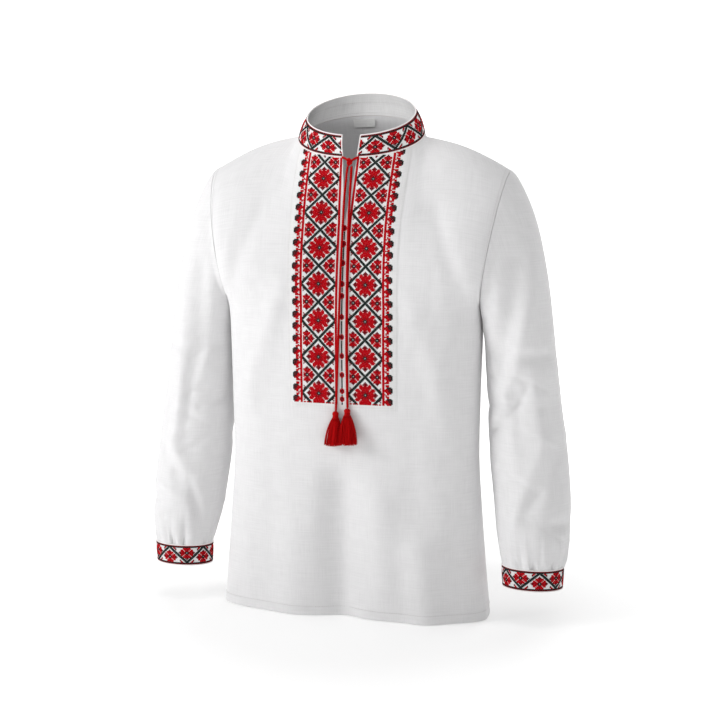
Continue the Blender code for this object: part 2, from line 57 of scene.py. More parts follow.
# The body, as in the solids
HEM_Z = -0.775
HEM_BAND = 0.013
ARMPIT_Z = -0.270
SIDE_Y = -0.035
SECTION_POWER = 2.4
TORSO = (
    # z,     half width, front y, back y
    (0.022, 0.190, -0.040, 0.076),
    (-0.041, 0.195, -0.060, 0.098),
    (-0.142, 0.200, -0.090, 0.117),
    (-0.270, 0.206, -0.109, 0.122),
    (-0.420, 0.203, -0.108, 0.119),
    (-0.520, 0.202, -0.106, 0.118),
    (-0.600, 0.207, -0.104, 0.120),
    (-0.700, 0.215, -0.099, 0.122),
    (-0.775, 0.222, -0.094, 0.124),
)
NECK_HALF_WIDTH = 0.103
NECK_HALF_DEPTH = 0.068
NECK_Y = 0.008
NECK_Z = -0.008
NECK_RISE = 0.033
SLIT_HALF = 0.0115
SLIT_END_Z = -0.142
SHOULDER_TIP = Vector((0.243, NECK_Y, -0.061))
SHOULDER_ROUND = 0.009
ARMHOLE_LOW_X = 0.206
ARMHOLE_DEPTH = {FRONT: 0.060, BACK: 0.068}
PANEL_BOTTOM_Z = -0.432
PANEL_U = 0.284
NECK_U = 0.423
YOKE_ROWS, SLIT_ROWS, PANEL_ROWS, LOWER_ROWS = 9, 4, 5, 7
FOLDS = {
    FRONT: (
        # x0,    z0,     x1,     z1,    width, height
        (0.118, -0.270, 0.175, -0.440, 0.020, 0.0050),
        (0.138, -0.120, 0.186, -0.255, 0.016, -0.0045),
        (-0.105, -0.250, -0.165, -0.430, 0.022, 0.0045),
        (-0.140, -0.120, -0.188, -0.250, 0.016, -0.0040),
        (-0.004, -0.560, -0.006, -0.800, 0.030, -0.0150),
        (0.062, -0.580, 0.070, -0.740, 0.026, 0.0060),
        (0.125, -0.660, 0.135, -0.800, 0.034, 0.0140),
        (-0.080, -0.640, -0.090, -0.800, 0.032, 0.0060),
    ),
    BACK: (
        (0.135, -0.110, 0.188, -0.260, 0.018, -0.0035),
        (-0.130, -0.115, -0.186, -0.255, 0.018, -0.0030),
        (0.060, -0.480, 0.085, -0.800, 0.036, 0.0110),
        (-0.020, -0.540, -0.030, -0.800, 0.032, -0.0100),
        (-0.115, -0.520, -0.125, -0.800, 0.034, 0.0090),
    ),
}
SLEEVE = (
    # z,    centre x, centre y, half width, half depth
    (-0.330, 0.2640, -0.010, 0.0555, 0.0620),
    (-0.420, 0.2720, -0.008, 0.0580, 0.0600),
    (-0.500, 0.2800, -0.010, 0.0615, 0.0590),
    (-0.580, 0.2885, -0.018, 0.0610, 0.0570),
    (-0.635, 0.2925, -0.029, 0.0575, 0.0510),
    (-0.663, 0.2940, -0.036, 0.0525, 0.0410),
    (-0.680, 0.2945, -0.040, 0.0490, 0.0345),
)
SLEEVE_FOLDS = (
    # turn from the outer side, z, width in turn, width in z, height
    (0.22, -0.345, 0.16, 0.014, -0.0060),
    (0.30, -0.425, 0.14, 0.013, -0.0055),
    (0.10, -0.610, 0.09, 0.012, -0.0045),
    (0.28, -0.560, 0.10, 0.014, -0.0040),
    (0.72, -0.380, 0.15, 0.016, -0.0055),
    (0.64, -0.500, 0.12, 0.014, -0.0045),
)
CAP_BULGE = 0.017
GATHERS = 12
GATHER_HEIGHT = 0.0022
GATHER_REACH = 0.050
CUFF_HEIGHT = 0.035
CUFF_TAPER = 0.0015
COLLAR_TOP_HALF_WIDTH = 0.088
COLLAR_TOP_HALF_DEPTH = 0.061
COLLAR_TOP_Z = 0.0275
COLLAR_TOP_RISE = 0.0335
COLLAR_TOP_GAP = 0.0150
COLLAR_BELLY = 0.0025
CORD_RADIUS = 0.0021
TIE_ROUTES = {
    "left": (
        # z,     x
        (-0.0545, -0.0016), (-0.095, -0.0030), (-0.142, -0.0022), (-0.270, -0.0030),
        (-0.350, -0.0056), (-0.420, -0.0086), (-0.4340, -0.0092),
    ),
    "right": (
        (-0.0545, 0.0048), (-0.095, 0.0056), (-0.142, 0.0070), (-0.270, 0.0088),
        (-0.350, 0.0086), (-0.415, 0.0094), (-0.4290, 0.0098),
    ),
}


def add_camera():
    """The photograph's viewpoint: a little to the wearer's left and level with the neck."""
    distance, side, down = 2.5, math.radians(15), math.radians(8.4)
    lens = bpy.data.cameras.new("camera")
    lens.lens = 77.5
    lens.sensor_width = 36.0
    lens.clip_end = 50.0
    made = bpy.data.objects.new("camera", lens)
    made.location = (distance * math.sin(side), -distance * math.cos(side), 0.0)
    look = Vector((-math.sin(side) * math.cos(down), math.cos(side) * math.cos(down),
                   -math.sin(down)))
    made.rotation_euler = look.to_track_quat("-Z", "Y").to_euler()
    bpy.context.scene.collection.objects.link(made)
    bpy.context.scene.camera = made


def along(table, column, z):
    """A smooth curve through one column of a table whose rows go downwards."""
    rows = len(table)
    if z >= table[0][0]:
        return table[0][column]
    if z <= table[-1][0]:
        return table[-1][column]
    low = next(i for i in range(rows - 1) if table[i][0] >= z >= table[i + 1][0])
    step = table[low + 1][0] - table[low][0]
    part = (z - table[low][0]) / step

    def slope(i):
        before, after = max(i - 1, 0), min(i + 1, rows - 1)
        run = table[after][0] - table[before][0]
        return (table[after][column] - table[before][column]) / run * step

    start, end = table[low][column], table[low + 1][column]
    square, cube = part ** 2, part ** 3
    return (start * (2 * cube - 3 * square + 1) + slope(low) * (cube - 2 * square + part)
            + end * (3 * square - 2 * cube) + slope(low + 1) * (cube - square))


def line_part(x, z, x0, z0, x1, z1):
    """Distance from a line and the share of the line at the nearest place."""
    run_x, run_z = x1 - x0, z1 - z0
    part = ((x - x0) * run_x + (z - z0) * run_z) / (run_x * run_x + run_z * run_z)
    part = max(0.0, min(1.0, part))
    return math.hypot(x - x0 - run_x * part, z - z0 - run_z * part), part


def body_fold(side, x, z):
    """Height of the body's large folds, which the solids have too."""
    height = 0.0
    for x0, z0, x1, z1, width, tall in FOLDS[side]:
        away = line_part(x, z, x0, z0, x1, z1)[0] / width
        height += tall * math.exp(-away * away)
    return height


def torso_point(side, t, z):
    """A point of the body's tube; t is 0 at the centre and 1 or -1 at the sides."""
    half_width = along(TORSO, 1, z)
    depth = along(TORSO, 2 if side == FRONT else 3, z)
    reach = math.sin(abs(t) * math.pi / 2)
    fullness = max(0.0, 1.0 - reach ** SECTION_POWER) ** (1.0 / SECTION_POWER)
    return Vector((math.copysign(half_width * reach, t), SIDE_Y + (depth - SIDE_Y) * fullness, z))


def slit_half(z):
    open_part = (z - SLIT_END_Z) / (NECK_Z - NECK_RISE - SLIT_END_Z)
    return SLIT_HALF * max(0.0, min(1.0, open_part))


def neck_point(side, u):
    start = math.asin(SLIT_HALF / NECK_HALF_WIDTH) if side == FRONT else 0.0
    turn = start + (math.pi / 2 - start) * u / NECK_U
    return Vector((NECK_HALF_WIDTH * math.sin(turn),
                   NECK_Y + side * NECK_HALF_DEPTH * math.cos(turn),
                   NECK_Z + side * NECK_RISE * math.cos(turn)))


def top_point(side, u):
    if u <= NECK_U:
        return neck_point(side, u)
    part = (u - NECK_U) / (1.0 - NECK_U)
    point = neck_point(side, NECK_U).lerp(SHOULDER_TIP, part)
    point.z += SHOULDER_ROUND * math.sin(math.pi * part)
    return point


def armhole_point(side, v):
    turn = math.pi * v
    low = Vector((ARMHOLE_LOW_X, SIDE_Y, ARMPIT_Z))
    point = SHOULDER_TIP.lerp(low, (1.0 - math.cos(turn)) / 2)
    point.y += side * ARMHOLE_DEPTH[side] * math.sin(turn)
    return point


def centre_point(side, v):
    top = NECK_Z + side * NECK_RISE
    if side == BACK:
        z = top + (ARMPIT_Z - top) * v
        return Vector((0.0, along(TORSO, 3, z), z))
    slit_part = SLIT_ROWS / YOKE_ROWS
    if v <= slit_part:
        z = top + (SLIT_END_Z - top) * v / slit_part
    else:
        z = SLIT_END_Z + (ARMPIT_Z - SLIT_END_Z) * (v - slit_part) / (1.0 - slit_part)
    return Vector((slit_half(z), along(TORSO, 2, z), z))


def yoke_point(side, u, v):
    """A point above the armpits, blended from the four edges of that half of the panel."""
    near = (1.0 - v) ** 2
    top, bottom = top_point(side, u), torso_point(side, u, ARMPIT_Z)
    corners = ((top_point(side, 0.0) * (1 - u) + top_point(side, 1.0) * u) * near
               + (torso_point(side, 0.0, ARMPIT_Z) * (1 - u)
                  + torso_point(side, 1.0, ARMPIT_Z) * u) * (1 - near))
    return (top * near + bottom * (1 - near) + centre_point(side, v) * (1 - u)
            + armhole_point(side, v) * u - corners)


def lower_row_z(row):
    if row <= PANEL_ROWS:
        return ARMPIT_Z + (PANEL_BOTTOM_Z - ARMPIT_Z) * row / PANEL_ROWS
    band_top = HEM_Z + HEM_BAND
    if row <= PANEL_ROWS + LOWER_ROWS:
        return PANEL_BOTTOM_Z + (band_top - PANEL_BOTTOM_Z) * (row - PANEL_ROWS) / LOWER_ROWS
    return band_top + (HEM_Z - band_top) * min(1.0, row - PANEL_ROWS - LOWER_ROWS)


def body_point(side, t, row, creased=True):
    """A point of the front's or back's outer face, with or without its small creases."""
    if row <= YOKE_ROWS:
        point = yoke_point(side, abs(t), row / YOKE_ROWS)
        point.x = math.copysign(point.x, t)
    else:
        point = torso_point(side, t, lower_row_z(row - YOKE_ROWS))
    edge_fade = math.sin(min(1.0, (1.0 - abs(t)) * 5.0) * math.pi / 2)
    top_fade = min(1.0, row / 2.0)
    height = body_fold(side, point.x, point.z)
    if creased:
        height += body_crease(side, point.x, point.z)
    point.y += side * height * edge_fade * top_fade + side * SEAM / 2
    return point


def sleeve_ring(z, turn, mirror):
    """A point of the sleeve below its cap; turn 0 is the outer side, 0.25 the front."""
    angle = 2 * math.pi * turn
    half_width, half_depth = along(SLEEVE, 3, z), along(SLEEVE, 4, z)
    for fold_turn, fold_z, turn_width, z_width, height in SLEEVE_FOLDS:
        away = abs((turn - fold_turn + 0.5) % 1.0 - 0.5) / turn_width
        level = (z - fold_z) / z_width
        dent = height * math.exp(-away * away - level * level)
        half_width += dent
        half_depth += dent
    above_cuff = z - SLEEVE[-1][0]
    swell = GATHER_HEIGHT * max(0.0, 1.0 - above_cuff / GATHER_REACH)
    swell *= 0.35 + 0.65 * min(1.0, above_cuff / (GATHER_REACH * 0.25))
    out = swell * math.cos(GATHERS * angle) + sleeve_crease(turn, z, above_cuff, mirror)
    return Vector((along(SLEEVE, 1, z) + (half_width + out) * math.cos(angle),
                   along(SLEEVE, 2, z) - (half_depth + out) * math.sin(angle), z))


def armhole_across(mirror):
    down = SHOULDER_TIP - Vector((ARMHOLE_LOW_X, SHOULDER_TIP.y, ARMPIT_Z))
    return Vector((mirror * down.z, 0.0, -down.x)).normalized()


def collar_point(part, t):
    """part 0 is the neckline, 1 the rim; t runs from one front edge round the back to the other."""
    start_low = math.asin(SLIT_HALF / NECK_HALF_WIDTH)
    start_high = math.asin(COLLAR_TOP_GAP / COLLAR_TOP_HALF_WIDTH)
    start = start_low + (start_high - start_low) * part
    angle = -math.pi + start + (2 * math.pi - 2 * start) * t
    half_width = NECK_HALF_WIDTH + (COLLAR_TOP_HALF_WIDTH - NECK_HALF_WIDTH) * part
    half_depth = NECK_HALF_DEPTH + (COLLAR_TOP_HALF_DEPTH - NECK_HALF_DEPTH) * part
    middle = NECK_Z + (COLLAR_TOP_Z - NECK_Z) * part
    rise = NECK_RISE + (COLLAR_TOP_RISE - NECK_RISE) * part
    curve = math.sin(math.pi * part) * COLLAR_BELLY
    return Vector(((half_width + curve) * math.sin(angle),
                   NECK_Y + (half_depth + curve) * math.cos(angle),
                   middle + rise * math.cos(angle) + 2 * SEAM * (1 - part)))


# Creases: soft troughs and ridges over the folds that the solids have
BODY_CREASES = {
    FRONT: (
        # x0,    z0,     x1,     z1,    width, height
        (0.150, -0.225, 0.098, -0.395, 0.009, -0.0016),
        (0.176, -0.262, 0.132, -0.470, 0.011, 0.0017),
        (0.186, -0.330, 0.158, -0.560, 0.012, -0.0015),
        (0.104, -0.450, 0.122, -0.640, 0.015, -0.0018),
        (0.150, -0.560, 0.172, -0.740, 0.014, 0.0019),
        (-0.152, -0.215, -0.106, -0.350, 0.009, -0.0014),
        (-0.178, -0.270, -0.140, -0.480, 0.012, 0.0016),
        (-0.112, -0.440, -0.126, -0.690, 0.016, -0.0019),
        (-0.172, -0.520, -0.166, -0.745, 0.013, 0.0016),
        (-0.045, -0.470, -0.052, -0.720, 0.017, 0.0014),
        (0.030, -0.500, 0.034, -0.745, 0.015, -0.0013),
        (0.128, -0.085, 0.196, -0.118, 0.008, 0.0012),
        (-0.126, -0.082, -0.194, -0.112, 0.008, 0.0011),
        (0.142, -0.390, 0.189, -0.528, 0.015, 0.0030),
        (0.121, -0.251, 0.147, -0.340, 0.017, -0.0034),
        (0.147, -0.340, 0.180, -0.487, 0.014, -0.0026),
        (0.118, -0.143, 0.184, -0.094, 0.018, -0.0030),
        (-0.087, -0.225, -0.146, -0.351, 0.017, 0.0032),
        (-0.146, -0.351, -0.174, -0.420, 0.014, 0.0022),
        (-0.128, -0.256, -0.094, -0.238, 0.012, -0.0028),
        (-0.096, -0.287, -0.095, -0.335, 0.009, -0.0022),
        (-0.170, -0.120, -0.186, -0.250, 0.012, -0.0024),
    ),
    BACK: (
        (0.162, -0.225, 0.100, -0.420, 0.012, 0.0018),
        (-0.166, -0.235, -0.112, -0.410, 0.011, 0.0016),
        (0.020, -0.330, 0.028, -0.700, 0.017, -0.0017),
        (-0.070, -0.380, -0.078, -0.730, 0.016, 0.0016),
        (0.135, -0.460, 0.150, -0.740, 0.015, -0.0018),
        (-0.160, -0.470, -0.170, -0.740, 0.014, 0.0017),
        (0.070, -0.090, 0.140, -0.130, 0.010, 0.0012),
        (-0.064, -0.095, -0.136, -0.140, 0.010, 0.0013),
    ),
}
SLEEVE_CREASES = (
    # turn, z, z gained per turn, width in turn, width in z, height
    (0.24, -0.372, 0.16, 0.10, 0.006, -0.0022),
    (0.34, -0.398, 0.22, 0.09, 0.006, 0.0017),
    (0.26, -0.452, -0.18, 0.11, 0.007, -0.0021),
    (0.17, -0.486, 0.20, 0.08, 0.006, 0.0015),
    (0.31, -0.520, 0.24, 0.09, 0.007, -0.0019),
    (0.22, -0.590, -0.14, 0.10, 0.007, 0.0018),
    (0.13, -0.634, 0.18, 0.08, 0.006, -0.0014),
    (0.68, -0.350, 0.20, 0.10, 0.007, -0.0020),
    (0.76, -0.425, -0.18, 0.11, 0.007, 0.0018),
    (0.60, -0.462, 0.22, 0.09, 0.006, -0.0018),
    (0.71, -0.545, 0.16, 0.10, 0.007, -0.0019),
    (0.64, -0.615, -0.20, 0.09, 0.006, 0.0016),
    (0.95, -0.470, 0.12, 0.07, 0.008, 0.0011),
    (0.47, -0.430, 0.14, 0.08, 0.007, -0.0017),
)
GIRTH = 0.37             # length once round a sleeve, for the ridges' lines
SLEEVE_RIDGES = (
    # turn,  z,      turn,  z,     width, height
    (0.20, -0.335, 0.17, -0.560, 0.012, 0.0034),
    (0.27, -0.345, 0.24, -0.520, 0.011, -0.0030),
    (0.36, -0.340, 0.28, -0.430, 0.010, 0.0032),
    (0.12, -0.400, 0.14, -0.600, 0.014, -0.0026),
    (0.24, -0.545, 0.33, -0.640, 0.010, 0.0030),
    (0.30, -0.560, 0.38, -0.645, 0.009, -0.0028),
    (0.70, -0.340, 0.74, -0.560, 0.012, 0.0030),
    (0.62, -0.345, 0.66, -0.520, 0.011, -0.0028),
    (0.82, -0.380, 0.80, -0.600, 0.014, -0.0024),
    (0.66, -0.560, 0.58, -0.640, 0.010, 0.0026),
)


def body_crease(side, x, z):
    """Height of the small creases, calm behind the embroidered panel."""
    height = 0.0
    for number, (x0, z0, x1, z1, width, tall) in enumerate(BODY_CREASES[side]):
        away, part = line_part(x, z, x0, z0, x1, z1)
        if away < 3 * width:
            uneven = 0.75 + 0.5 * noise.noise(Vector((number * 3.7, part * 3.0, side)))
            fade = math.sin(math.pi * (0.08 + 0.84 * part))
            height += tall * uneven * fade * math.exp(-(away / width) ** 2)
    height += 0.0011 * noise.noise(Vector((x * 13, z * 7, side * 5.0)))
    height += 0.0003 * noise.noise(Vector((x * 46, z * 30, side * 9.0)))
    if side == FRONT:
        beside = max(0.0, min(1.0, (abs(x) - CALM_HALF_WIDTH) / CALM_FADE))
        under = max(0.0, min(1.0, (PANEL_BOTTOM_Z - z) / 0.04))
        height *= max(beside, under)
    return height


# Folds on the front of each sleeve: width, height, and the line's places as x and z
SLEEVE_LINES = {
    1: (
        (0.014, 0.0046, ((0.297, -0.150), (0.294, -0.229), (0.282, -0.299), (0.266, -0.358),
                         (0.247, -0.416), (0.234, -0.444))),
        (0.015, -0.0064, ((0.264, -0.195), (0.259, -0.270), (0.247, -0.330), (0.234, -0.380))),
        (0.008, -0.0044, ((0.230, -0.466), (0.262, -0.432), (0.284, -0.396))),
        (0.014, 0.0030, ((0.321, -0.469), (0.288, -0.541), (0.262, -0.600))),
        (0.012, -0.0030, ((0.332, -0.495), (0.306, -0.560), (0.285, -0.592))),
        (0.010, -0.0032, ((0.250, -0.150), (0.233, -0.205), (0.222, -0.260))),
        (0.009, 0.0022, ((0.262, -0.115), (0.243, -0.170), (0.232, -0.225))),
    ),
    -1: (
        (0.012, -0.0040, ((0.232, -0.100), (0.217, -0.202), (0.213, -0.300))),
        (0.016, 0.0032, ((0.252, -0.120), (0.277, -0.256), (0.287, -0.388), (0.296, -0.523))),
        (0.014, -0.0034, ((0.243, -0.220), (0.251, -0.330), (0.254, -0.410))),
        (0.006, -0.0040, ((0.256, -0.447), (0.222, -0.437))),
        (0.008, 0.0026, ((0.262, -0.428), (0.226, -0.420))),
        (0.012, -0.0036, ((0.328, -0.513), (0.274, -0.591), (0.250, -0.640))),
        (0.012, 0.0026, ((0.312, -0.495), (0.262, -0.572))),
    ),
}
CALM_HALF_WIDTH, CALM_FADE = 0.088, 0.03


def sleeve_line(x, z, mirror):
    height = 0.0
    for width, tall, line in SLEEVE_LINES[mirror]:
        away = min(line_part(x, z, *start, *end)[0] for start, end in zip(line, line[1:]))
        height += tall * math.exp(-(away / width) ** 2)
    return height


FINE_GATHERS, FINE_GATHER_HEIGHT, FINE_GATHER_REACH = 19, 0.0011, 0.085
TUCKS, TUCK_DEPTH = 8, 0.0038


def sleeve_crease(turn, z, above_cuff, mirror):
    """Height of a sleeve's creases, ridges and fine gathers; the two sleeves differ a little."""
    out = 0.0
    for number, (at, level, slant, wide, tall, height) in enumerate(SLEEVE_CREASES):
        at += 0.03 * mirror * ((number % 3) - 1)
        level += 0.007 * mirror * ((number % 4) - 1.5)
        off = (turn - at + 0.5) % 1.0 - 0.5
        drop = z - level - slant * off
        out += height * math.exp(-(off / wide) ** 2 - (drop / tall) ** 2)
    for number, (turn0, z0, turn1, z1, width, tall) in enumerate(SLEEVE_RIDGES):
        shift = 0.018 * mirror * ((number % 3) - 1)
        away, part = line_part(turn * GIRTH, z, (turn0 + shift) * GIRTH, z0,
                               (turn1 + shift) * GIRTH, z1)
        fade = math.sin(math.pi * (0.06 + 0.88 * part))
        out += tall * fade * math.exp(-(away / width) ** 2)
    angle = 2 * math.pi * turn
    around = Vector((2.2 * math.cos(angle), 2.2 * math.sin(angle), z * 9 + mirror * 4.0))
    out += 0.0012 * noise.noise(around)
    gather = max(0.0, 1.0 - above_cuff / FINE_GATHER_REACH) ** 1.6
    if gather > 0.0:
        phase = 2.6 * noise.noise(Vector((3 * math.cos(angle), 3 * math.sin(angle), mirror)))
        at_seam = min(1.0, 0.3 + above_cuff / 0.01)
        wave = math.cos(FINE_GATHERS * angle + 1.6 * phase)
        out += FINE_GATHER_HEIGHT * gather * wave * at_seam
        tuck = max(0.0, math.cos(TUCKS * angle + 2.4 * phase + mirror)) ** 6
        out -= TUCK_DEPTH * tuck * math.exp(-((above_cuff - 0.005) / 0.009) ** 2)
    top = max(0.0, min(1.0, (-0.330 - z) / 0.03))
    return out * top


def armhole_normal(normal, v, mirror):
    """The normal laid into the armhole's plane, but less so near the armpit, where v is 1."""
    across = armhole_across(mirror)
    share = min(1.0, max(0.0, (1.0 - v) / 0.25))
    return (normal - across * normal.dot(across) * share).normalized()


def cloth(name, points, faces, wall_of, uv_of, skin, slot, adjust=None, turns=0):
    """A thin shell: the sheet's outer face, its inner face and the cut edge between them.

    wall_of and uv_of give a point's wall and its place on the flat cloth. adjust may change the
    direction of its wall. turns is the number of points round a tube, or 0 for a flat sheet.
    """
    sheet = bmesh.new()
    made = {key: sheet.verts.new(point) for key, point in points.items()}
    for face in faces:
        sheet.faces.new([made[key] for key in face])
    sheet.normal_update()
    rim = [edge for edge in sheet.edges if edge.is_boundary]
    key_of = {vertex: key for key, vertex in made.items()}
    behind = {}
    for key, vertex in made.items():
        normal = vertex.normal.copy()
        if adjust:
            normal = adjust(key, normal)
        behind[key] = sheet.verts.new(vertex.co - normal * wall_of(key))
    for face in faces:
        sheet.faces.new([behind[key] for key in reversed(face)])
    for edge in rim:
        loop = edge.link_loops[0]
        start, end = loop.vert, loop.link_loop_next.vert
        closing = sheet.faces.new([end, start, behind[key_of[start]], behind[key_of[end]]])
        closing.edges[0].smooth = False
        closing.edges[2].smooth = False
    key_of.update({vertex: key for key, vertex in behind.items()})
    layer = sheet.loops.layers.uv.new("cloth")
    for face in sheet.faces:
        face.smooth = True
        keys = [key_of[loop.vert] for loop in face.loops]
        wraps = turns and {0, turns - 1} <= {key[1] for key in keys}
        for loop, key in zip(face.loops, keys):
            if wraps and key[1] == 0:
                key = (key[0], turns)
            loop[layer].uv = uv_of(key)
    mesh = bpy.data.meshes.new(name)
    sheet.to_mesh(mesh)
    sheet.free()
    return keep(name, mesh, skin, slot, name)


def keep(name, mesh, skin, slot, *nodes):
    """Make the piece, let it ride on the shirt's body and stand for its nodes."""
    mesh.materials.append(skin)
    made = bpy.data.objects.new(name + "_cloth" if nodes else name, mesh)
    bpy.context.scene.collection.objects.link(made)
    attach(made, "root")
    if nodes:
        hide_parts(*nodes)
    return made


YOKE_STEPS, PANEL_STEPS, LOWER_STEPS, HALF_STEPS = 6, 7, 9, 56
BODY_ROWS = [i / YOKE_STEPS for i in range(YOKE_ROWS * YOKE_STEPS)]
BODY_ROWS += [YOKE_ROWS + i / PANEL_STEPS for i in range(PANEL_ROWS * PANEL_STEPS)]
BODY_ROWS += [YOKE_ROWS + PANEL_ROWS + i / LOWER_STEPS for i in range(LOWER_ROWS * LOWER_STEPS)]
BODY_ROWS += [YOKE_ROWS + PANEL_ROWS + LOWER_ROWS + i / 3 for i in range(4)]


def place_key(row, column, mark, slit_rows):
    """Key of a grid point; beside the slit the centre has one for each side."""
    return (row, column, mark if column == 0 and row < slit_rows else 0)


def grid_points(side, rows, shares, slit_rows):
    """Points of a body panel; above the slit's end the centre is doubled."""
    columns = len(shares) - 1
    points = {}
    for row, level in enumerate(rows):
        for column in range(-columns, columns + 1):
            for mark in (-1, 1):
                if column and mark != (1 if column > 0 else -1):
                    continue
                t = math.copysign(shares[abs(column)], mark)
                points[place_key(row, column, mark, slit_rows)] = body_point(side, t, level)
    return points


def grid_faces(rows, columns, side, slit_rows):
    faces = []
    for row in range(rows):
        for column in range(-columns, columns):
            mark = -1 if column < 0 else 1
            upper = [place_key(row, c, mark, slit_rows) for c in (column, column + 1)]
            lower = [place_key(row + 1, c, mark, slit_rows) for c in (column, column + 1)]
            face = [upper[0], lower[0], lower[1], upper[1]]
            faces.append(face[::-1] if side == BACK else face)
    return faces


def grid_measure(points, rows, columns):
    """Places on the flat cloth: across from the centre, and down the centre, in metres."""
    down = [0.0]
    for row in range(1, rows + 1):
        down.append(down[-1] + (points[(row, 1, 0)] - points[(row - 1, 1, 0)]).length)
    places = {}
    for row in range(rows + 1):
        for way in (-1, 1):
            reach = 0.0
            last = points.get((row, 0, 0), points.get((row, 0, way)))
            for column in range(columns + 1):
                key = (row, 0, 0) if column == 0 and (row, 0, 0) in points else None
                key = key or (row, way * column, way if column == 0 else 0)
                reach += (points[key] - last).length
                last = points[key]
                places[key] = (way * reach, -down[row])
    return places


EASE_ROWS, EASE_COLUMNS = 24, 7
EASE_ROUNDS = {"armpit": 80, "neck": 24}


def smoothed(line, rounds):
    """The line with its inner points drawn towards their neighbours; its ends stay."""
    for _ in range(rounds):
        inner = [(a + b * 2 + c) / 4 for a, b, c in zip(line, line[1:], line[2:])]
        line = [line[0], *inner, line[-1]]
    return line


def bell(off, reach):
    return math.cos(math.pi / 2 * off / reach) ** 2


def ease_armpit(points, side, shares):
    """Soften the change of slope where the yoke's rows meet the torso's, beside the panel."""
    middle = YOKE_ROWS * YOKE_STEPS
    levels = range(middle - EASE_ROWS, middle + EASE_ROWS + 1)
    for column in range(1 - len(shares), len(shares)):
        t = shares[abs(column)]
        weight = min(1.0, (t - 0.29) / 0.09, (0.965 - t) / 0.06)
        if weight <= 0.0:
            continue
        start = [body_point(side, math.copysign(t, column), BODY_ROWS[level], False)
                 for level in levels]
        for level, before, after in zip(levels, start, smoothed(start, EASE_ROUNDS["armpit"])):
            share = bell(level - middle, EASE_ROWS)
            points[(level, column, 0)] += (after - before) * weight * share


def ease_neck(points, side, shares):
    """Soften the ridge that runs down from the place where neckline and shoulder meet."""
    middle = round(NECK_U * HALF_STEPS)
    columns = range(middle - EASE_COLUMNS, middle + EASE_COLUMNS + 1)
    for row in range(3, YOKE_ROWS * YOKE_STEPS):
        weight = min(1.0, (row - 2) / 8, (YOKE_ROWS * YOKE_STEPS - row) / 12)
        for way in (-1, 1):
            start = [body_point(side, way * shares[column], BODY_ROWS[row], False)
                     for column in columns]
            for column, before, after in zip(columns, start, smoothed(start, EASE_ROUNDS["neck"])):
                share = bell(column - middle, EASE_COLUMNS)
                points[(row, way * column, 0)] += (after - before) * weight * share


def body_panel(name, side, skin):
    shares = [i / HALF_STEPS for i in range(HALF_STEPS + 1)]
    slit_rows = SLIT_ROWS * YOKE_STEPS if side == FRONT else 0
    points = grid_points(side, BODY_ROWS, shares, slit_rows)
    ease_armpit(points, side, shares)
    ease_neck(points, side, shares)
    rows = len(BODY_ROWS) - 1
    places = grid_measure(points, rows, HALF_STEPS)

    def adjust(key, normal):
        row, column = BODY_ROWS[key[0]], key[1]
        at_side = abs(column) == HALF_STEPS and row >= YOKE_ROWS
        if at_side or (row == 0 and shares[abs(column)] >= NECK_U):
            normal = Vector((normal.x, 0.0, normal.z)).normalized()
        if abs(column) == HALF_STEPS and row < YOKE_ROWS:
            normal = armhole_normal(normal, row / YOKE_ROWS, math.copysign(1, column))
        return normal

    def wall(key):
        return HEM_WALL if BODY_ROWS[key[0]] >= YOKE_ROWS + PANEL_ROWS + LOWER_ROWS else WALL

    return cloth(name, points, grid_faces(rows, HALF_STEPS, side, slit_rows), wall,
                 places.get, skin, "linen", adjust)


def body_normal(side, t, row):
    """The outward direction of the body's face, from short steps along it."""
    way = math.copysign(1.0, t)
    at = body_point(side, t, row)
    across = (body_point(side, t + way * 0.012, row) - at) * way
    down = body_point(side, t, row + 0.012) - at
    return (across.cross(down) * side).normalized()


PANEL_STRIPS = 24


def panel_lift(share):
    """Height of the panel's face over the front; its turned side edges fall to the cloth."""
    inside = (PANEL_U - abs(share)) / (3 * PANEL_U / PANEL_STRIPS)
    return 0.0002 + (SEAM + PANEL_WALL - 0.0002) * max(0.0, min(1.0, inside))


def embroidered_panel(skin):
    shares = [PANEL_U * i / PANEL_STRIPS for i in range(PANEL_STRIPS + 1)]
    rows = BODY_ROWS[:(YOKE_ROWS * YOKE_STEPS + PANEL_ROWS * PANEL_STEPS + 1)]
    slit_rows = SLIT_ROWS * YOKE_STEPS
    points = grid_points(FRONT, rows, shares, slit_rows)
    places = grid_measure(points, len(rows) - 1, PANEL_STRIPS)
    for key in points:
        mark = key[2] or (1 if key[1] >= 0 else -1)
        share = math.copysign(shares[abs(key[1])], mark)
        points[key] += body_normal(FRONT, share, rows[key[0]]) * panel_lift(share)

    def wall(key):
        return max(0.0003, panel_lift(shares[abs(key[1])]) - 0.0001)

    return cloth("panel", points, grid_faces(len(rows) - 1, PANEL_STRIPS, FRONT, slit_rows),
                 wall, places.get, skin, "embroidered_linen")


SIDE_TURNS = 72
SLEEVE_ROWS = (34, 108)


